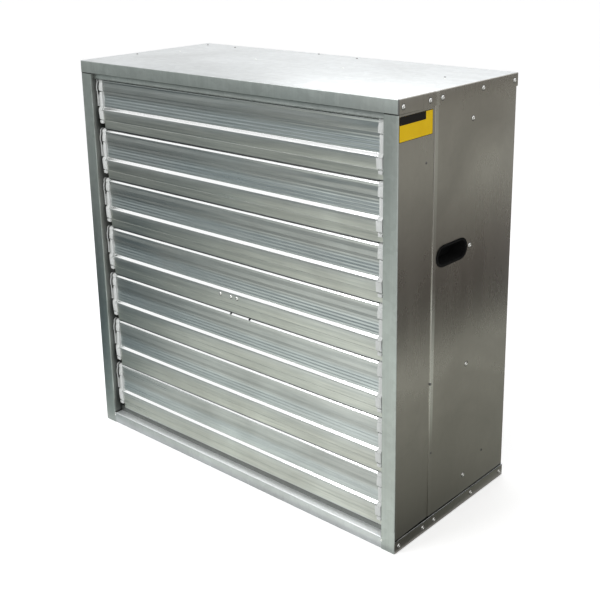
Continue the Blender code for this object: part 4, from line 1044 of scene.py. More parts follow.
# %% Helpers: plates, rods and turned shapes
def add_plate(bm, outline, low, high, axis="X"):
    """A closed plate from a flat outline, between two levels of an axis."""
    order = {"X": (2, 0, 1), "Y": (0, 2, 1), "Z": (0, 1, 2)}[axis]

    def spot(a, b, level):
        return tuple((a, b, level)[index] for index in order)

    ends = [[bm.verts.new(spot(a, b, level)) for a, b in outline] for level in (low, high)]
    bm.faces.new(ends[0])
    bm.faces.new(ends[1][::-1])
    for index in range(len(outline)):
        after = (index + 1) % len(outline)
        bm.faces.new((ends[0][index], ends[0][after], ends[1][after], ends[1][index]))


def add_turned(bm, profile, centre, axis, sides=32):
    """A closed shape from a profile of (radius, distance along the axis)."""
    axis = Vector(axis).normalized()
    across = axis.orthogonal().normalized()
    over = axis.cross(across)
    rings = []
    for radius, level in profile:
        if radius < WELD:
            rings.append([bm.verts.new(Vector(centre) + axis * level)])
            continue
        ring = []
        for step in range(sides):
            angle = 2 * math.pi * step / sides
            out = across * math.cos(angle) + over * math.sin(angle)
            ring.append(bm.verts.new(Vector(centre) + out * radius + axis * level))
        rings.append(ring)
    pairs = list(zip(rings, rings[1:]))
    if len(rings[0]) > 1 and len(rings[-1]) > 1:
        pairs.append((rings[-1], rings[0]))
    for lower, upper in pairs:
        for step in range(sides):
            after = (step + 1) % sides
            if len(lower) == 1:
                bm.faces.new((lower[0], upper[after], upper[step]))
            elif len(upper) == 1:
                bm.faces.new((lower[step], lower[after], upper[0]))
            else:
                bm.faces.new((lower[step], lower[after], upper[after], upper[step]))


def eased(profile, amount=0.5 * MM):
    """Takes a small flat off each corner of a closed profile, so that its edges catch light."""
    out = []
    for index, corner in enumerate(profile):
        before, after = Vector(profile[index - 1]), Vector(profile[(index + 1) % len(profile)])
        corner = Vector(corner)
        if corner.x < WELD:
            out.append(tuple(corner))
            continue
        for other in (before, after):
            cut = min(amount, (other - corner).length * 0.3)
            out.append(tuple(corner + (other - corner).normalized() * cut))
    return out


# %% [markdown]
# Now each slat is drawn and gets its lug and its pin. At the right end its lower edge runs on
# behind the cap as a short tongue.

# %% The seven slats
TIE_X = 52 * MM
LUG_EYE = Vector((28 * MM, 12 * MM))
LUG_EYE_RADIUS = 6 * MM
NOTCHED_SLAT, NOTCHES, NOTCH_HALF = 5, (-4, 52), 2.75 * MM
TONGUE = ((7.1, 97.6), (6.0, 108.1), (3.4, 108.1), (3.4, 106.9), (4.8, 106.9), (5.8, 97.6))
LUG_PIN = in_mm((0, 0), (2.4, 0), (2.4, 4.3), (3.9, 4.5), (3.9, 5.6), (0, 5.9))


def lug_outline(pivot):
    """The lug from the slat's inner face up and back to its eye, in world (Y, Z)."""
    root = [Vector(spot) for spot in in_mm((-4.7, -3), (-4.4, -15))]
    first, last = (math.atan2(LUG_EYE.y - spot.y, LUG_EYE.x - spot.x) for spot in root[::-1])
    first, last = first - math.pi / 2, last + math.pi / 2
    arc = [first + (last - first) * step / 14 for step in range(15)]
    points = root + [LUG_EYE + Vector((math.cos(a), math.sin(a))) * LUG_EYE_RADIUS for a in arc]
    return [(pivot.y + point.x, pivot.z + point.y) for point in points]


def notched(mesh, pivot):
    """Saws the notches in the roll of a slat."""
    thing = linked("notched", mesh)
    tools = bmesh.new()
    outline = [(pivot.y + y, pivot.z + z) for y, z in in_mm((-9, 1.8), (9, 1.8), (9, 9), (-9, 9))]
    for x in NOTCHES:
        add_plate(tools, outline, x * MM - NOTCH_HALF, x * MM + NOTCH_HALF)
    saw = linked("saw", mesh_of(tools, "saw"))
    cut = thing.modifiers.new("notch", "BOOLEAN")
    cut.object = saw
    cut.operation = "DIFFERENCE"
    mesh = baked(thing)
    bpy.data.objects.remove(saw)
    return mesh


def make_slat(number):
    pivot = pivot_of(number)
    path = [(pivot.y - forward, pivot.z - down) for forward, down in SLAT_POINTS]
    mesh = drawn_sheet(f"slat_{number}", path, -SLAT_HALF, SLAT_HALF, SLAT_WALL, 1, SLAT_ALUMINIUM)
    if number == NOTCHED_SLAT:
        mesh = notched(mesh, pivot)
    bm = bmesh.new()
    bm.from_mesh(mesh)
    tongue = [(pivot.y - forward, pivot.z - drop) for forward, drop in in_mm(*TONGUE)]
    add_plate(bm, tongue, SLAT_HALF - 0.5 * MM, SLAT_HALF + 12.5 * MM)
    add_plate(bm, lug_outline(pivot), TIE_X - 3.3 * MM, TIE_X - 0.3 * MM)
    pin = (TIE_X - 1 * MM, pivot.y + LUG_EYE.x, pivot.z + LUG_EYE.y)
    add_turned(bm, LUG_PIN, pin, (1, 0, 0), 16)
    bm.to_mesh(mesh)
    bm.free()
    finish(
        f"slat_{number}_extrusion", mesh, SLAT_ALUMINIUM, f"shutter_{number}",
        [f"slat_{number}"],
    )


for slat in range(1, SLATS + 1):
    make_slat(slat)
print("slats made")

# %% [markdown]
# ## The stop under the last slat
#
# Seen from above, the gap between the lowest slat and the sill is closed by sheet, not open to
# the dark. A narrow angle stands on the floor of the tray, against the back edge of the sill, and
# its hemmed top reaches up behind the slat. It is drawn along X like a slat.

# %% Stop strip
STOP_Y, STOP_TOP, STOP_HALF = -179.3, 39.0, 414
stop_path = rounded_path(
    in_mm((-160, 2.2), (STOP_Y, 2.2), (STOP_Y, STOP_TOP), (STOP_Y + 3, STOP_TOP)), 1.2 * MM
)
# The stop takes the dark copy: a dark sheet that stands for the shade under the last slat.
stop = drawn_sheet(
    "sill_stop", stop_path, -STOP_HALF * MM, STOP_HALF * MM, 0.8 * MM, 1, SHADED_JAMB_ZINC
)
finish("sill_stop", stop, SHADED_JAMB_ZINC, "case")
print("stop made")

# %% [markdown]
# ## End caps
#
# A white nylon cap closes each end of a slat and carries its pivot pin. From the front it is a
# pale strip: an outer rib, a groove, and an inner lip that is broken into lugs, wide above and
# below the ledge and narrow between. All caps are one moulding, and the left ones are its mirror
# image, so one function makes both.

# %% The strips of a cap
CAP_INNER = SLAT_HALF + 0.3 * MM
CAP_OUTER = CAP_INNER + 20 * MM
CAP_FOOT = 58
LIP_PROUD = 3 * MM
RIB_PROUD = 3.6 * MM
GROOVE_SUNK = 1.6 * MM
CORES = ((2, 97, 0, 12.2), (2, 24, 12, 15), (37, 97, 12, 15), (2, 97, 14.8, 20))
LIPS = ((3, 22.6, -0.5), (25, 66.5, 2.5), (67, 87.5, -2), (90.5, 97, 1.5))
BRIDGES = ((3, 24), (37, CAP_FOOT))
PIVOT_PIN = in_mm((0, 0), (3, 0), (3, 8.5), (2.4, 9.2), (0, 9.2))
SPIGOT = in_mm((0, 0), (3.2, 0.6), (3.2, 16), (0, 16))


def slat_front(down):
    """How far forward of the pivot the slat's face stands, at a drop below it."""
    if down < 22.5 * MM:
        return 5.5 * MM
    if down < 59.4 * MM:
        return 4.3 * MM
    if down < 65.4 * MM:
        return (4.3 + 4.8 * (down / MM - 59.4) / 6) * MM
    return apron_forward(down)


def cap_back(down):
    """How far forward of the pivot the back of a cap stands: behind it at the top, level below."""
    return -6.6 * MM + 0.09 * down


def strip_outline(top, bottom, proud, back):
    """A strip of a cap from the side, as (Y, Z) about the pivot, between two drops in mm.

    A strip that stands forward is eased at its top, which swings up under the head rail.
    """
    drops = [drop * MM for drop in (top, 12.0, 22.4, 24.0, 59.4, 65.4, bottom) if top <= drop <= bottom]
    ease = 0.25 if proud > 0 else 0.0
    face = [(-(slat_front(drop) + proud - ease * max(0.0, 12 * MM - drop)), -drop) for drop in drops]
    return face + [(-back(drop), -drop) for drop in drops[::-1]]


def slat_skin(down):
    return slat_front(down) + 0.2 * MM


# %% [markdown]
# A cap is a stack of such strips between two distances from its inner end: the cores, the lips in
# front of them, the bridges in the groove and the outer rib. Below the rib it grows narrower.

# %% The caps
def make_cap(number, side, hand):
    pivot = pivot_of(number)
    bm = bmesh.new()

    def slab(outline, start, end):
        """A slab of the cap between two distances from its inner end, in mm."""
        low, high = sorted(side * (CAP_INNER + edge * MM) for edge in (start, end))
        add_plate(bm, [(pivot.y + y, pivot.z + z) for y, z in outline], low, high)

    arc = [math.pi * step / 14 for step in range(15)]
    roll = [(-7.2 * MM * math.cos(a), 7.2 * MM * math.sin(a)) for a in arc]
    slab(roll + in_mm((6.4, -4), (-6.3, -4)), 0, 20)
    for top, bottom, start, end in CORES:
        slab(strip_outline(top, bottom, -GROOVE_SUNK, cap_back), start, end)
    for top, bottom, start in LIPS:
        slab(strip_outline(top, bottom, LIP_PROUD, cap_back), max(start, 0), 12)
        if start < 0:
            slab(strip_outline(top, bottom, LIP_PROUD, slat_skin), start, 0.3)
    for top, bottom in BRIDGES:
        slab(strip_outline(top, bottom, LIP_PROUD - 1.2 * MM, cap_back), 11.8, 15.2)
    slab(strip_outline(3, CAP_FOOT, RIB_PROUD, cap_back), 15, 20)
    for spot in bm.verts:
        below = pivot.z - CAP_FOOT * MM - spot.co.z
        limit = CAP_OUTER - max(0.0, below) * 0.23
        spot.co.x = max(-limit, min(limit, spot.co.x))
    outwards = (side, 0, 0)
    add_turned(bm, PIVOT_PIN, (side * (CAP_OUTER - 2 * MM), pivot.y, pivot.z), outwards, 18)
    add_turned(bm, SPIGOT, (side * (CAP_INNER - 13 * MM), pivot.y, pivot.z), outwards, 16)
    thing = linked("cap", mesh_of(bm, f"{hand}_cap_{number}"))
    edged(thing, 0.35 * MM, 2, 40)
    finish(
        f"{hand}_cap_{number}_moulding", baked(thing), CAP_NYLON, f"shutter_{number}",
        [f"{hand}_end_cap_{number}"],
    )


for slat in range(1, SLATS + 1):
    make_cap(slat, -1, "left")
    make_cap(slat, 1, "right")
print("caps made")

# %% [markdown]
# ## Rivets and screws
#
# Blind rivets hold the panels together, and screws hold the bulkhead. Each kind is one small
# head, so a geometry tree sets it on a list of points and turns it to face outwards. The points
# are the vertices of a mesh, which also carry the direction that each head faces.


# %% Geometry nodes: a head on every point
def make_heads_tree():
    tree, given = geometry_tree("heads on points", Head="Object", Size="Float", Seed="Int")
    head = put(tree, "GeometryNodeObjectInfo", Object=given["Head"]).outputs["Geometry"]
    facing = put(
        tree, "GeometryNodeInputNamedAttribute", {"data_type": "FLOAT_VECTOR"}, Name="facing"
    ).outputs[0]
    spin = put(
        tree, "FunctionNodeRandomValue", {"data_type": "FLOAT"}, i2=0.0, i3=6.283, Seed=given["Seed"]
    ).outputs[1]
    flat = put(tree, "ShaderNodeCombineXYZ", Z=spin).outputs[0]
    aimed = put(tree, "FunctionNodeAlignRotationToVector", {"axis": "Z"}, Vector=facing).outputs[0]
    turn = put(
        tree, "FunctionNodeRotateRotation", {"rotation_space": "LOCAL"}, Rotation=aimed, i1=flat
    ).outputs[0]
    heads = put(
        tree, "GeometryNodeInstanceOnPoints", Points=given["Geometry"], Instance=head, Rotation=turn,
        Scale=given["Size"],
    ).outputs[0]
    return put_out(tree, given, heads)


HEADS_ON_POINTS = make_heads_tree()


def head_object(name, profile, sides=20):
    """A small head turned about Z, its seat at zero."""
    bm = bmesh.new()
    add_turned(bm, profile, (0, 0, 0), (0, 0, 1), sides)
    mesh = mesh_of(bm, name)
    mesh.shade_smooth()
    return linked(name, mesh)


def set_heads(name, head, spots, body, material, size=1.0, seed=1):
    """Sets one head on each spot of (place, facing) as a single piece."""
    mesh = bpy.data.meshes.new(name)
    mesh.from_pydata([place for place, facing in spots], [], [])
    facing = mesh.attributes.new("facing", "FLOAT_VECTOR", "POINT")
    facing.data.foreach_set("vector", [value for spot in spots for value in spot[1]])
    thing = linked(name, mesh)
    run_tree(thing, HEADS_ON_POINTS, Head=head, Size=size, Seed=seed, Material=material)
    return finish(name, baked(thing), material, body)


# %% [markdown]
# A rivet head is a flat dome with a dimple where its stem broke off. A thin dark ring lies under
# each one as painted shade round the head. Depths count from the front of the case, in millimetres.

# %% Heads and where they go
rivet = head_object("rivet_head", in_mm(
    (0, -1.0), (4.7, -1.0), (4.7, 0.4), (4.3, 1.2), (3.3, 1.85), (2.0, 2.1), (1.5, 1.3), (0, 1.1),
))
dome = head_object("dome_head", in_mm(
    (0, -1.0), (3.4, -1.0), (3.4, 0.2), (2.9, 1.3), (1.8, 2.1), (0, 2.5),
))
ring = head_object("dirt_ring", in_mm((0, -1.0), (6.0, -1.0), (6.0, 0.5), (5.0, 0.62), (0, 0.62)))
BULKHEAD_Y = FRONT + 241 * MM
RIVET_DEPTHS = (14, 95, 134, 271, 386)
rivet_spots = []
for side in (-1, 1):
    for depth in RIVET_DEPTHS:
        for level in (14, 885):
            place = (side * (HALF - 0.5 * MM), FRONT + depth * MM, level * MM)
            rivet_spots.append((place, (side, 0, 0)))
    for level in (69, 323, 577, 831):
        rivet_spots.append(((side * (HALF - 2.3 * MM), BULKHEAD_Y, level * MM), (side, 0, 0)))
    for level in (13, 886):
        for x in (130, 300, 432):
            rivet_spots.append(((side * x * MM, REAR - 0.5 * MM, level * MM), (0, 1, 0)))
set_heads("case_rivets", rivet, rivet_spots, "case", RIVET_STEEL)
# Painted shade: a thin dark ring under each rivet.
set_heads("rivet_rings", ring, rivet_spots, "case", PEG_STEEL_AND_SHADE)
print(len(rivet_spots), "rivets")

# %% [markdown]
# Smaller heads follow: four screws over the bulkhead and two at the feet of the uprights, dark
# pegs on the top and on the right side, and the three rivets of the push bracket.

# %% The screws, the pegs and the rivets of the push bracket
TOP_PEGS = ((-424, 146), (-418, 369), (-320, 368), (-65, 387), (56, 376), (370, 258))
LAPPED_PEGS = ((115, 323), (120, 171), (311, 98))
LEANING_PEG = (89, 771)
BRACKET_DROP = 72.5 * MM
screw_spots = [((side * 417 * MM, FRONT + 1.4 * MM, 19 * MM), (0, -1, 0)) for side in (-1, 1)]
screw_spots += [((x * MM, BULKHEAD_Y, 898.8 * MM), (0, 0, 1)) for x in (-381, -127, 127, 381)]
peg_spots = [((x * MM, FRONT + depth * MM, 899.4 * MM), (0, 0, 1)) for x, depth in TOP_PEGS]
for depth, level in LAPPED_PEGS:
    peg_spots.append(((447.8 * MM, FRONT + depth * MM, level * MM), (1, 0, 0)))
depth, level = LEANING_PEG
y = FRONT + depth * MM
peg_spots.append(((446 * MM + flank_push(y), y, level * MM), (1, 0, 0)))
middle = pivot_of(4)
face_y = middle.y - apron_forward(BRACKET_DROP) + 0.3 * MM
bracket_spots = [((x * MM, face_y, middle.z - BRACKET_DROP), (0, -1, 0)) for x in (-30, 2, 20)]
set_heads("case_screws", dome, screw_spots, "case", RIVET_STEEL, 0.9, 4)
set_heads("case_pegs", dome, peg_spots, "case", PEG_STEEL_AND_SHADE, 0.8, 5)
set_heads("bracket_rivets", dome, bracket_spots, "shutter_4", RIVET_STEEL, 1.1, 6)
# Painted shade: dark rings under the bracket rivets.
set_heads("bracket_rings", ring, bracket_spots, "shutter_4", PEG_STEEL_AND_SHADE, 0.85, 7)
print(len(screw_spots), "screws,", len(peg_spots), "pegs")

# %% [markdown]
# ## The plate on the side
#
# A small yellow plate is stuck near the top of the right side, close to the front corner. It is
# plain, with a dark strip along its top and a thin dark rim. Its corners are cut round and its
# edge is a fraction of a millimetre thick, so that it sits on the sheet and doesn't flicker.


# %% The plate
def rounded_box_outline(low, high, radius, steps=5):
    """A rectangle between two corners, its own corners cut round."""
    points = []
    for corner, (sx, sy) in enumerate(((1, 1), (-1, 1), (-1, -1), (1, -1))):
        centre = [
            far - radius if sign > 0 else near + radius for near, far, sign in zip(low, high, (sx, sy))
        ]
        for step in range(steps + 1):
            angle = math.pi / 2 * (corner + step / steps)
            points.append((centre[0] + radius * math.cos(angle), centre[1] + radius * math.sin(angle)))
    return points


def make_plate():
    front = FRONT + 3 * MM
    for name, low, high, start, rise, material in (
        ("plate_rim", (front - 1 * MM, 822 * MM), (front + 105 * MM, 868 * MM), 446.3, 0.25, PLATE_DARK),
        ("blank_plate", (front, 823 * MM), (front + 104 * MM, 867 * MM), 446.4, 0.35, PLATE_YELLOW),
        ("plate_strip", (front, 852.5 * MM), (front + 82 * MM, 867 * MM), 446.7, 0.2, PLATE_DARK),
    ):
        bm = bmesh.new()
        add_plate(bm, rounded_box_outline(low, high, 1.5 * MM), start * MM, (start + rise) * MM)
        for spot in bm.verts:
            spot.co.x += flank_push(spot.co.y)
        finish(name, mesh_of(bm, name), material, "case")


make_plate()
print("plate made")

# %% [markdown]
# ## The throat and the bulkhead's bore
#
# The impeller turns in a rolled ring that guides the air. A ring is one profile spun round an
# axis. The profile is drawn as the outer face of the sheet, with a real bend between the throat
# and its flange and a small bead at the front, and the wall is added afterwards.

# %% The throat ring
AXIS = Vector((0, 0, 450 * MM))


def spun_sheet(name, profile, sides=144):
    """An open sheet spun round the fan's axis from (radius, Y)."""
    bm = bmesh.new()
    rings = []
    angles = [2 * math.pi * step / sides for step in range(sides)]
    for radius, level in profile:
        rings.append([
            bm.verts.new((radius * math.cos(a), level, AXIS.z + radius * math.sin(a))) for a in angles
        ])
    for first, second in zip(rings, rings[1:]):
        for step in range(sides):
            after = (step + 1) % sides
            bm.faces.new((first[step], second[step], second[after], first[after]))
    return mesh_of(bm, name)


def throat_profile():
    """The throat's outer face: flange, bend, bore and bead."""
    bore, flange_y, bend, bead = 382 * MM, 48.2 * MM, 20 * MM, 2 * MM
    path = [(425 * MM, flange_y), (404 * MM, flange_y)]
    for step in range(1, 11):
        angle = math.pi / 2 * step / 10
        path.append((bore + bend * (1 - math.sin(angle)), flange_y - bend * (1 - math.cos(angle))))
    path += [(bore, -10 * MM), (bore, -55 * MM), (bore + 0.4 * MM, -58 * MM)]
    for step in range(1, 9):
        angle = math.pi * step / 8
        path.append((384.4 * MM - bead * math.cos(angle), -59.8 * MM - bead * math.sin(angle)))
    return path


thing = linked("throat", spun_sheet("venturi_ring", throat_profile()))
walled(thing, SHEET, 1 if thing.data.polygons[0].normal.y < 0 else -1)
finish("throat_ring", baked(thing), WORKS_ZINC, "case", ["venturi_ring"])
print("throat made")

# %% [markdown]
# ## The impeller
#
# Six pressed blades stand on a cast drum. A blade is twisted: steep at its root, flatter at
# its tip. Its formula is the model's own, drawn with a finer grid. A pressed rib runs along each
# blade, and a foot with three bolts holds it to the drum.

# %% Blades
BLADES = 6
ROOT_RADIUS, TIP_RADIUS = 95.7 * MM, 372 * MM
BLADE_Y = -4 * MM


def blade_spot(number, out, across, lift=0.0):
    """A place on the middle face of a blade; out runs 0..1 to the tip, across -1..1 over the chord."""
    radius = ROOT_RADIUS + (TIP_RADIUS - ROOT_RADIUS) * out
    chord = (108 + 82 * out) * MM
    pitch = math.radians(38 - 16 * out)
    along = across * chord / 2
    bow = 0.06 * chord * (1 - across * across) + lift
    sweep = along * math.cos(pitch) + bow * math.sin(pitch)
    y = BLADE_Y + along * math.sin(pitch) - bow * math.cos(pitch)
    angle = 2 * math.pi * number / BLADES + sweep / radius
    return Vector((radius * math.cos(angle), y, AXIS.z + radius * math.sin(angle)))


def blade_width(out):
    """Rounds the four corners of the blade: the share of the half chord that is left."""
    near = min(out / 0.05, (1 - out) / 0.05, 1)
    return 1 - 0.05 * (1 - math.sqrt(max(0.0, 1 - (1 - near) ** 2)))


PRESSED_FROM, PRESSED_TO, PRESSED_FADE, PRESSED_HALF, PRESSED_RISE = 0.12, 0.86, 0.06, 0.14, 2.6 * MM
BLADE_ROWS, BLADE_COLUMNS = 40, 24


def rib_lift(out, across):
    """How far the pressed rib lifts the blade's middle face."""
    if not PRESSED_FROM < out < PRESSED_TO:
        return 0.0
    rib = max(0.0, 1 - abs(across) / PRESSED_HALF)
    fade = min(1.0, max(0.0, min((out - PRESSED_FROM) / PRESSED_FADE, (PRESSED_TO - out) / PRESSED_FADE)))
    return PRESSED_RISE * fade * (0.5 - 0.5 * math.cos(math.pi * rib))


def make_blade(number):
    bm = bmesh.new()
    rows = []
    for i in range(BLADE_ROWS + 1):
        out = i / BLADE_ROWS
        row = []
        for j in range(BLADE_COLUMNS + 1):
            across = (2 * j / BLADE_COLUMNS - 1) * blade_width(out)
            row.append(bm.verts.new(blade_spot(number, out, across, rib_lift(out, across))))
        rows.append(row)
    for first, second in zip(rows, rows[1:]):
        for j in range(BLADE_COLUMNS):
            bm.faces.new((first[j], second[j], second[j + 1], first[j + 1]))
    thing = linked("blade", mesh_of(bm, f"blade_{number}", False))
    walled(thing, 2 * MM, 0)
    edged(thing, 0.4 * MM, 2, 50)
    finish(
        f"blade_{number}_pressing", baked(thing), BLADE_METAL, "impeller",
        [f"blade_{number}"],
    )


for blade in range(1, BLADES + 1):
    make_blade(blade)
print("blades made")

# %% [markdown]
# ## Round parts
#
# Hub, pulleys, shafts, bearing and opener were all turned on a lathe or cast and then turned.
# Each is a profile of radius and depth, spun round its own axis. *Eased* cuts the corners, since
# no turned edge is left sharp.

# %% Geometry nodes: a ring of copies
def make_ring_tree():
    tree, given = geometry_tree("ring of copies", Count="Int", Centre="Vector")
    points = put(tree, "GeometryNodePoints", Count=given["Count"]).outputs[0]
    index = put(tree, "GeometryNodeInputIndex").outputs[0]
    angle = calc(tree, "MULTIPLY", calc(tree, "DIVIDE", index, given["Count"]), 2 * math.pi)
    turn = put(tree, "ShaderNodeCombineXYZ", Y=angle).outputs[0]
    copies = put(
        tree, "GeometryNodeInstanceOnPoints", Points=points, Instance=given["Geometry"], Rotation=turn
    ).outputs[0]
    placed = put(
        tree, "GeometryNodeTransform", Geometry=copies, Translation=given["Centre"]
    ).outputs[0]
    return put_out(tree, given, placed)


RING_OF_COPIES = make_ring_tree()


def ring_of(bm, name, count, centre, material):
    """Copies a small mesh round an axis along Y through a centre. It is drawn about the origin."""
    thing = linked(name, mesh_of(bm, name))
    run_tree(thing, RING_OF_COPIES, Count=count, Centre=centre, Material=material)
    return baked(thing)


def merged(name, *meshes):
    """One mesh out of several, each of them closed."""
    bm = bmesh.new()
    for mesh in meshes:
        bm.from_mesh(mesh)
    return mesh_of(bm, name, False)


def turned_mesh(name, profile, centre, sides=72, ease=0.6):
    """A turned part from a profile in millimetres, its axis along Y."""
    bm = bmesh.new()
    add_turned(bm, eased(in_mm(*profile), ease * MM), centre, (0, 1, 0), sides)
    return mesh_of(bm, name)


def hex_head(bm, centre, axis, flat, height):
    """A hexagon head with a washer under it, its seat at the centre. Its sizes are in mm."""
    flat, height = flat * MM, height * MM
    washer, washer_top = flat * 0.72, height * 0.2
    add_turned(bm, [(0, 0), (washer, 0), (washer, washer_top), (0, washer_top)], centre, axis, 20)
    corner, foot, shoulder = flat * 0.577, height * 0.15, height * 0.85
    head = [(0, foot), (corner, foot), (corner, shoulder), (corner * 0.86, height), (0, height)]
    add_turned(bm, head, centre, axis, 6)


# %% [markdown]
# The hub is a drum on a web with six ribs. A foot of sheet lies on the drum's end of each blade,
# held by three bolts, and the bolts look forward like the blade's face.

# %% The hub, its ribs and the feet of the blades
hub = turned_mesh("hub", [
    (95, -42), (95, 34), (91, 34), (91, -1), (34, -1), (30, 3), (30, 25), (12.4, 25), (12.4, -45),
    (30, -45), (30, -10), (34, -6), (91, -6), (91, -42),
], AXIS, 96, 0.8)
bm = bmesh.new()
rib = in_mm((29, -6.5), (91.5, -6.5), (91.5, -24), (29, -36))
add_plate(bm, rib, -2.5 * MM, 2.5 * MM, "Z")
ribs = ring_of(bm, "hub_ribs", 6, AXIS, CAST_IRON)
bm = bmesh.new()
hex_head(bm, (62 * MM, -6 * MM, 22 * MM), (0, -1, 0), 10, 6)
bolts = ring_of(bm, "hub_bolts", 6, AXIS, RIVET_STEEL)
finish("hub_casting", merged("hub", hub, ribs), CAST_IRON, "impeller", ["impeller_hub"])
finish("hub_bolts", bolts, RIVET_STEEL, "impeller")

FOOT_LIFT, BOLT_LIFT, BOLT_OUT = 2.2 * MM, 2.4 * MM, 0.055
feet, heads = bmesh.new(), bmesh.new()
for number in range(1, BLADES + 1):
    strip = []
    for j in range(9):
        across = -0.72 + 1.44 * j / 8
        strip.append([
            feet.verts.new(blade_spot(number, out, across, FOOT_LIFT)) for out in (-0.006, 0.085)
        ])
    for first, second in zip(strip, strip[1:]):
        feet.faces.new((first[0], first[1], second[1], second[0]))
    for across in (-0.5, 0, 0.5):
        seat = blade_spot(number, BOLT_OUT, across, BOLT_LIFT)
        side = blade_spot(number, BOLT_OUT, across + 0.1, BOLT_LIFT) - seat
        out = blade_spot(number, 0.1, across, BOLT_LIFT) - seat
        facing = side.cross(out).normalized()
        if facing.y > 0:
            facing = -facing
        hex_head(heads, seat, facing, 9, 5)
thing = linked("feet", mesh_of(feet, "feet", False))
walled(thing, 2.4 * MM, 0)
finish("blade_feet", baked(thing), BLADE_METAL, "impeller")
finish("blade_bolts", mesh_of(heads, "blade_bolts"), RIVET_STEEL, "impeller")
print("hub made")

# %% [markdown]
# Both pulleys have the same V groove, so one function gives their profiles. The large one has a
# rim on a web with five spokes. The bearing sits on a plate across the two beams.

# %% The shaft, the pulleys and the bearing
PULLEY_FRONT, PULLEY_REAR, BELT_PLANE = 55, 73, 64


def pulley_points(top, under, boss, boss_rear, bore):
    """A pulley's profile in millimetres, with a web between boss and rim if there is room."""
    front, rear, plane = PULLEY_FRONT, PULLEY_REAR, BELT_PLANE
    floor = top + 0.3 - 8 - 2
    groove = [
        (top, front), (top, plane - 7), (floor, plane - 3.9), (floor, plane + 3.9), (top, plane + 7),
        (top, rear),
    ]
    if under < boss:
        return [(bore, front), *groove, (bore, rear)]
    return [
        (bore, front), (boss, front), (boss, plane - 2.5), (under, plane - 2.5), (under, front),
        *groove, (under, rear), (under, plane + 2.5), (boss, plane + 2.5), (boss, boss_rear),
        (bore, boss_rear),
    ]


shaft = turned_mesh("shaft", [(0, 2), (12, 2), (12, 147), (0, 147)], AXIS, 48, 1.0)
finish("fan_shaft_turned", shaft, BRIGHT_STEEL, "impeller", ["fan_shaft"])
pulley = turned_mesh("pulley", pulley_points(97.7, 80, 24, 79, 12.4), AXIS, 96, 0.7)
bm = bmesh.new()
spoke = in_mm((23, 57.5), (81, 57.5), (81, 62), (23, 62))
add_plate(bm, spoke, -3 * MM, 3 * MM, "Z")
pulley = merged("pulley", pulley, ring_of(bm, "pulley_spokes", 5, AXIS, CAST_IRON))
finish("fan_pulley_casting", pulley, CAST_IRON, "impeller", ["fan_pulley"])

bearing = turned_mesh("bearing", [
    (12.7, 79), (20, 79), (20, 80.5), (34, 80.5), (34, 85), (43, 87), (43, 131), (34, 133),
    (34, 137.5), (20, 137.5), (20, 139), (12.7, 139),
], AXIS, 72, 1.2)
bm = bmesh.new()
outline = rounded_box_outline((-86 * MM, 422 * MM), (86 * MM, 478 * MM), 16 * MM, 8)
add_plate(bm, outline, 87 * MM, 95 * MM, "Y")
bearing = merged("bearing", bearing, mesh_of(bm, "foot"))
finish("bearing_casting", bearing, CAST_IRON, "case", ["bearing_housing"])
bm = bmesh.new()
for x in (-70, 70):
    for z in (-14, 14):
        hex_head(bm, (x * MM, 87 * MM, AXIS.z + z * MM), (0, -1, 0), 11, 6)
nipple = in_mm((0, 0), (3, 0), (3, 4), (1.8, 5), (2.6, 7), (1.5, 9), (0, 9))
add_turned(bm, nipple, (0, 109 * MM, AXIS.z + 42.5 * MM), (0, 0, 1), 16)
finish("bearing_bolts", mesh_of(bm, "bearing_bolts"), RIVET_STEEL, "case")
print("drive made")

# %% [markdown]
# ## The belt
#
# The belt is a V of rubber on a loop round the two pulleys. Its section is carried along the
# loop with its wide side outwards. A mesh section on a list of places is simplest here, because
# the loop is made of two arcs and two straight runs.

# %% Belt and motor places
MOTOR_AXIS = Vector((345 * MM, 0, 115 * MM))


def belt_loop(big, small):
    """Places on the belt's middle line, each with the direction out of the loop."""
    centre = Vector((MOTOR_AXIS.x - AXIS.x, MOTOR_AXIS.z - AXIS.z))
    line = math.atan2(centre.y, centre.x)
    spread = math.acos((big - small) / centre.length)
    places = []
    for middle, radius, start, end, count in (
        (Vector((0, 0)), big, line + spread, line - spread + 2 * math.pi, 72),
        (centre, small, line - spread, line + spread, 36),
    ):
        for index in range(count + 1):
            angle = start + (end - start) * index / count
            out = Vector((math.cos(angle), math.sin(angle)))
            places.append((middle + out * radius, out))
    return places


def make_belt():
    section = [(3.9, -6.0), (3.5, -6.5), (-0.5, -5.4), (-3.6, -4.2), (-4.0, -3.6)]
    section = section + [(rise, -wide) for rise, wide in section[::-1]]
    bm = bmesh.new()
    rings = []
    for spot, out in belt_loop(94 * MM, 37 * MM):
        ring = []
        for rise, wide in section:
            at = spot + out * rise * MM
            ring.append(bm.verts.new((at.x, (BELT_PLANE + wide) * MM, AXIS.z + at.y)))
        rings.append(ring)
    for index, ring in enumerate(rings):
        after = rings[(index + 1) % len(rings)]
        for step in range(len(section)):
            other = (step + 1) % len(section)
            bm.faces.new((ring[step], ring[other], after[other], after[step]))
    finish("drive_belt", mesh_of(bm, "belt"), BELT_RUBBER, "case", ["belt"])


make_belt()
print("belt made")

# %% [markdown]
# ## The motor
#
# A totally enclosed motor has a finned body between two bells, and a cowl over its own small fan
# at the back. Fins let the heat out. They run along the body, so one fin is drawn and copied
# round the axis.

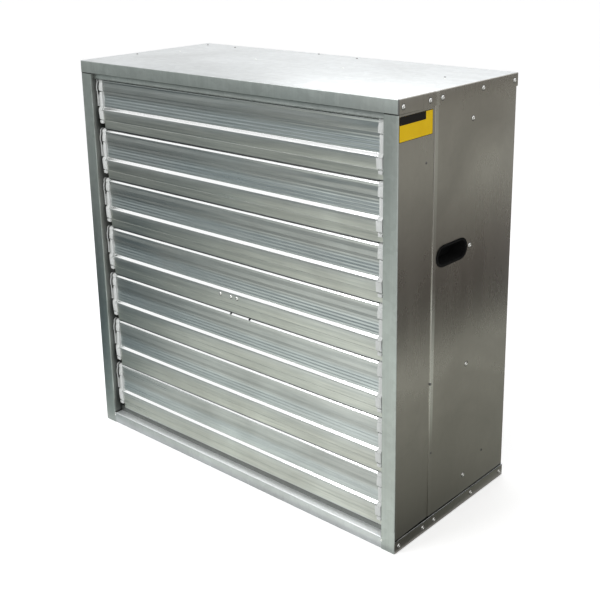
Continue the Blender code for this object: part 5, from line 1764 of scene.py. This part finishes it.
# %% Motor
MOTOR_CENTRE = (MOTOR_AXIS.x, 0, MOTOR_AXIS.z)
MOTOR_PROFILE = [
    (0, 95.3), (9.9, 95.3), (9.9, 83), (26, 83), (27, 84.5), (54, 84.5), (60, 87), (64, 93), (66, 97),
    (66, 101), (62.5, 102), (62.5, 155), (66, 156), (66.5, 160), (64, 172), (58, 179), (50, 180),
    (48, 179), (46, 180), (40, 180), (38, 178.6), (36, 180), (30, 180), (28, 178.6), (26, 180),
    (20, 180), (18, 178.6), (16, 180), (0, 180),
]
MOTOR_BOXES = (
    ((-52, -44), (91.5, 171.5), (-74.7, -58)), ((44, 52), (91.5, 171.5), (-74.7, -58)),
    ((-52, 52), (91.5, 171.5), (-74.7, -70.7)), ((-24, 24), (107.5, 155.5), (40, 77)),
    ((-50, -40), (96, 167), (-62, -42)), ((40, 50), (96, 167), (-62, -42)),
)
body = turned_mesh("motor", MOTOR_PROFILE, MOTOR_CENTRE, 90, 0.5)
bm = bmesh.new()
fin = in_mm((61.5, 101), (67.6, 102), (67.9, 104), (67.9, 152), (67.6, 155), (61.5, 156))
add_plate(bm, fin, -0.9 * MM, 0.9 * MM, "Z")
fins = ring_of(bm, "motor_fins", 44, MOTOR_CENTRE, MOTOR_PAINT)
bm = bmesh.new()
for (x0, x1), (y0, y1), (z0, z1) in MOTOR_BOXES:
    outline = rounded_box_outline(
        ((MOTOR_AXIS.x / MM + x0) * MM, y0 * MM), ((MOTOR_AXIS.x / MM + x1) * MM, y1 * MM), 2 * MM, 3
    )
    add_plate(bm, outline, (115 + z0) * MM, (115 + z1) * MM, "Z")
motor = merged("motor", body, fins, mesh_of(bm, "motor_feet"))
finish("motor_casting", motor, MOTOR_PAINT, "case", ["motor_body"])

bm = bmesh.new()
for step in range(4):
    angle = math.pi / 4 + math.pi / 2 * step
    spot = MOTOR_AXIS + Vector((57 * MM * math.cos(angle), 85.6 * MM, 57 * MM * math.sin(angle)))
    hex_head(bm, spot, (0, -1, 0), 8, 5)
for x in (-44, 44):
    for y in (101, 162):
        hex_head(bm, (MOTOR_AXIS.x + x * MM, y * MM, 44.2 * MM), (0, 0, 1), 9, 6)
finish("motor_bolts", mesh_of(bm, "motor_bolts"), RIVET_STEEL, "case")
shaft = turned_mesh("motor_shaft", [(0, 54), (9.5, 54), (9.5, 95), (0, 95)], MOTOR_CENTRE, 40, 1.0)
finish("motor_shaft_turned", shaft, BRIGHT_STEEL, "motor_rotor", ["motor_shaft"])
pulley = turned_mesh("motor_pulley", pulley_points(40.7, 0, 24, 79, 9.9), MOTOR_CENTRE, 72, 0.6)
finish("motor_pulley_casting", pulley, CAST_IRON, "motor_rotor", ["motor_pulley"])
print("motor made")

# %% [markdown]
# The terminal box is a cast box with a lid and four screws. Its cable leaves through a gland: a
# hexagon and a round nut on a moulded tube, open because no cable is fitted.


# %% The terminal box and the gland
def make_terminal_box():
    low, high = (Vector(spot) for spot in in_mm((314, 103.5, 192.3), (376, 159.5, 226.3)))
    bm = bmesh.new()
    for inset, radius, start, end in (
        (1 * MM, 5 * MM, low.z, high.z - 6 * MM),
        (0, 6 * MM, high.z - 5.6 * MM, high.z - 0.4 * MM),
        (6 * MM, 4 * MM, high.z - 1 * MM, high.z),
    ):
        outline = rounded_box_outline(
            (low.x + inset, low.y + inset), (high.x - inset, high.y - inset), radius
        )
        add_plate(bm, outline, start, end, "Z")
    thing = linked("box", mesh_of(bm, "box"))
    edged(thing, 0.8 * MM, 3, 50)
    finish("terminal_box_casting", baked(thing), MOTOR_PAINT, "case", ["terminal_box"])
    bm = bmesh.new()
    screw = eased(in_mm((0, 0), (2.6, 0), (2.6, 1), (0, 1)), 0.3 * MM)
    for x in (low.x + 5 * MM, high.x - 5 * MM):
        for y in (low.y + 5 * MM, high.y - 5 * MM):
            add_turned(bm, screw, (x, y, high.z - 1.2 * MM), (0, 0, 1), 16)
    finish("box_screws", mesh_of(bm, "box_screws"), RIVET_STEEL, "case")
    bm = bmesh.new()
    seat = (low.x - 0.3 * MM, 131.5 * MM, 209.3 * MM)
    hexagon = in_mm((5, 0), (9.9, 0), (9.9, 7.4), (9.2, 8), (5, 8))
    nut = in_mm((5, 4), (7.5, 4), (7.5, 15), (6.6, 19), (5.4, 20), (5, 20))
    add_turned(bm, hexagon, seat, (-1, 0, 0), 6)
    add_turned(bm, eased(nut, 0.4 * MM), seat, (-1, 0, 0), 28)
    finish("gland_moulding", mesh_of(bm, "gland"), BLACK_PLASTIC, "case", ["cable_gland"])


make_terminal_box()
print("terminal box made")

# %% [markdown]
# ## The opener
#
# As the fan speeds up, two weights swing out and push a rod forward, which lifts the middle
# slat. The housing is a turned casting with ears, and each weight hangs from a pin between them.

# %% Opener
housing = turned_mesh("opener", [
    (5.4, -85), (20, -85), (20, -83), (33, -83), (35, -80), (35, -68), (33, -67), (33, -62), (35, -61),
    (35, -45.3), (5.4, -45.3),
], AXIS, 72, 0.8)
bm = bmesh.new()
pin = eased(in_mm((0, -13), (2.5, -13), (2.5, 13), (0, 13)), 0.4 * MM)
for side in (-1, 1):
    near, far = sorted((side * 22, side * 48))
    ear = rounded_box_outline((near * MM, -85 * MM), (far * MM, -71 * MM), 5 * MM)
    for start, end in ((-12, -9), (9, 12)):
        add_plate(bm, ear, AXIS.z + start * MM, AXIS.z + end * MM, "Z")
    add_turned(bm, pin, (side * 42 * MM, -78 * MM, AXIS.z), (0, 0, 1), 20)
opener = merged("opener", housing, mesh_of(bm, "ears"))
finish("opener_casting", opener, CAST_IRON, "impeller", ["opener_housing"])
for side, hand in ((-1, "left"), (1, "right")):
    outline = ((-4, -4), (4, -4), (4, 8), (18, 14), (18, 31), (-4, 31))
    bm = bmesh.new()
    add_plate(
        bm, [(side * (42 + x) * MM, (y - 78) * MM) for x, y in outline], AXIS.z - 8.7 * MM,
        AXIS.z + 8.7 * MM, "Z",
    )
    thing = linked("weight", mesh_of(bm, "weight"))
    edged(thing, 1.2 * MM, 3)
    finish(
        f"{hand}_weight_casting", baked(thing), CAST_IRON, f"{hand}_weight",
        [f"opener_weight_{hand}"],
    )
rod = turned_mesh("push_rod", [(0, -161), (3, -161), (5, -159), (5, -5), (0, -5)], AXIS, 40, 0.3)
finish("push_rod_turned", rod, BRIGHT_STEEL, "opener_rod", ["push_rod"])
print("opener made")

# %% [markdown]
# ## The wire guard
#
# A guard of welded wire closes the intake at the back. Every wire is a straight edge of a mesh,
# and a geometry tree gives each edge its thickness. Two gauges need two runs of the same tree.


# %% Geometry nodes: wires from edges
def make_wire_tree():
    tree, given = geometry_tree("wires from edges", Radius="Float", Sides="Int")
    curves = put(tree, "GeometryNodeMeshToCurve", Mesh=given["Geometry"]).outputs[0]
    ring = put(
        tree, "GeometryNodeCurvePrimitiveCircle", Resolution=given["Sides"], Radius=given["Radius"]
    ).outputs[0]
    tubes = put(
        tree, "GeometryNodeCurveToMesh", Curve=curves, Profile_Curve=ring, Fill_Caps=True
    ).outputs[0]
    return put_out(tree, given, tubes)


WIRES_FROM_EDGES = make_wire_tree()
GUARD_HALF, FRAME_TAIL = 430 * MM, 434 * MM
FRAME_Y, UPRIGHT_Y, THIN_Y = 193.9 * MM, 190.65 * MM, 188.15 * MM
THIN_WIRES = 19


def wires(name, lines, radius):
    """Round wires along a list of lines, each given by its two ends."""
    mesh = bpy.data.meshes.new(name)
    ends = [end for line in lines for end in line]
    mesh.from_pydata(ends, [(2 * i, 2 * i + 1) for i in range(len(lines))], [])
    thing = linked(name, mesh)
    run_tree(thing, WIRES_FROM_EDGES, Radius=radius, Sides=12, Material=WIRE_ZINC)
    return baked(thing)


def level_wire(half, y, z):
    return (-half, y, z), (half, y, z)


def upright_wire(x, y, half):
    return (x, y, AXIS.z - half), (x, y, AXIS.z + half)


frame_lines = []
for edge in (-GUARD_HALF, GUARD_HALF):
    frame_lines.append(level_wire(FRAME_TAIL, FRAME_Y, AXIS.z + edge))
    frame_lines.append(upright_wire(edge, FRAME_Y, FRAME_TAIL))
thin_lines = [upright_wire(x * MM, UPRIGHT_Y, GUARD_HALF) for x in (-215, 0, 215)]
for row in range(1, THIN_WIRES + 1):
    z = AXIS.z + GUARD_HALF * (2 * row / (THIN_WIRES + 1) - 1)
    thin_lines.append(level_wire(GUARD_HALF, THIN_Y, z))
guard = merged(
    "guard", wires("guard_frame", frame_lines, 2.5 * MM), wires("guard_wires", thin_lines, 1.75 * MM)
)
finish("rear_guard_wires", guard, WIRE_ZINC, "case", ["rear_guard"])
print("guard made")

# %% [markdown]
# ## Beams, bar, bracket and hand holes
#
# These keep the shape of the model, with round folds and softened edges. The beams are painted
# like the motor, and the moulded hand holes are black.

# %% The last model nodes
for hand in ("left", "right"):
    dress(f"support_beam_{hand}", "case", MOTOR_PAINT, "grey_paint", outer=3 * MM, inner=1 * MM)
    dress(
        f"handle_cup_{hand}", "case", BLACK_PLASTIC, "black_plastic", f"hand_hole_{hand}",
        outer=0.8 * MM, inner=0.4 * MM, rim=0.4 * MM, angle=40,
    )
dress("tie_bar", "tie_link", CASE_ZINC, "galvanised_sheet", outer=0.4 * MM, angle=50)
dress("push_bracket", "shutter_4", CASE_ZINC, "galvanised_sheet")
print("last nodes dressed")

# %% Last lines
for pattern in (rivet, dome, ring):
    bpy.data.objects.remove(pattern)
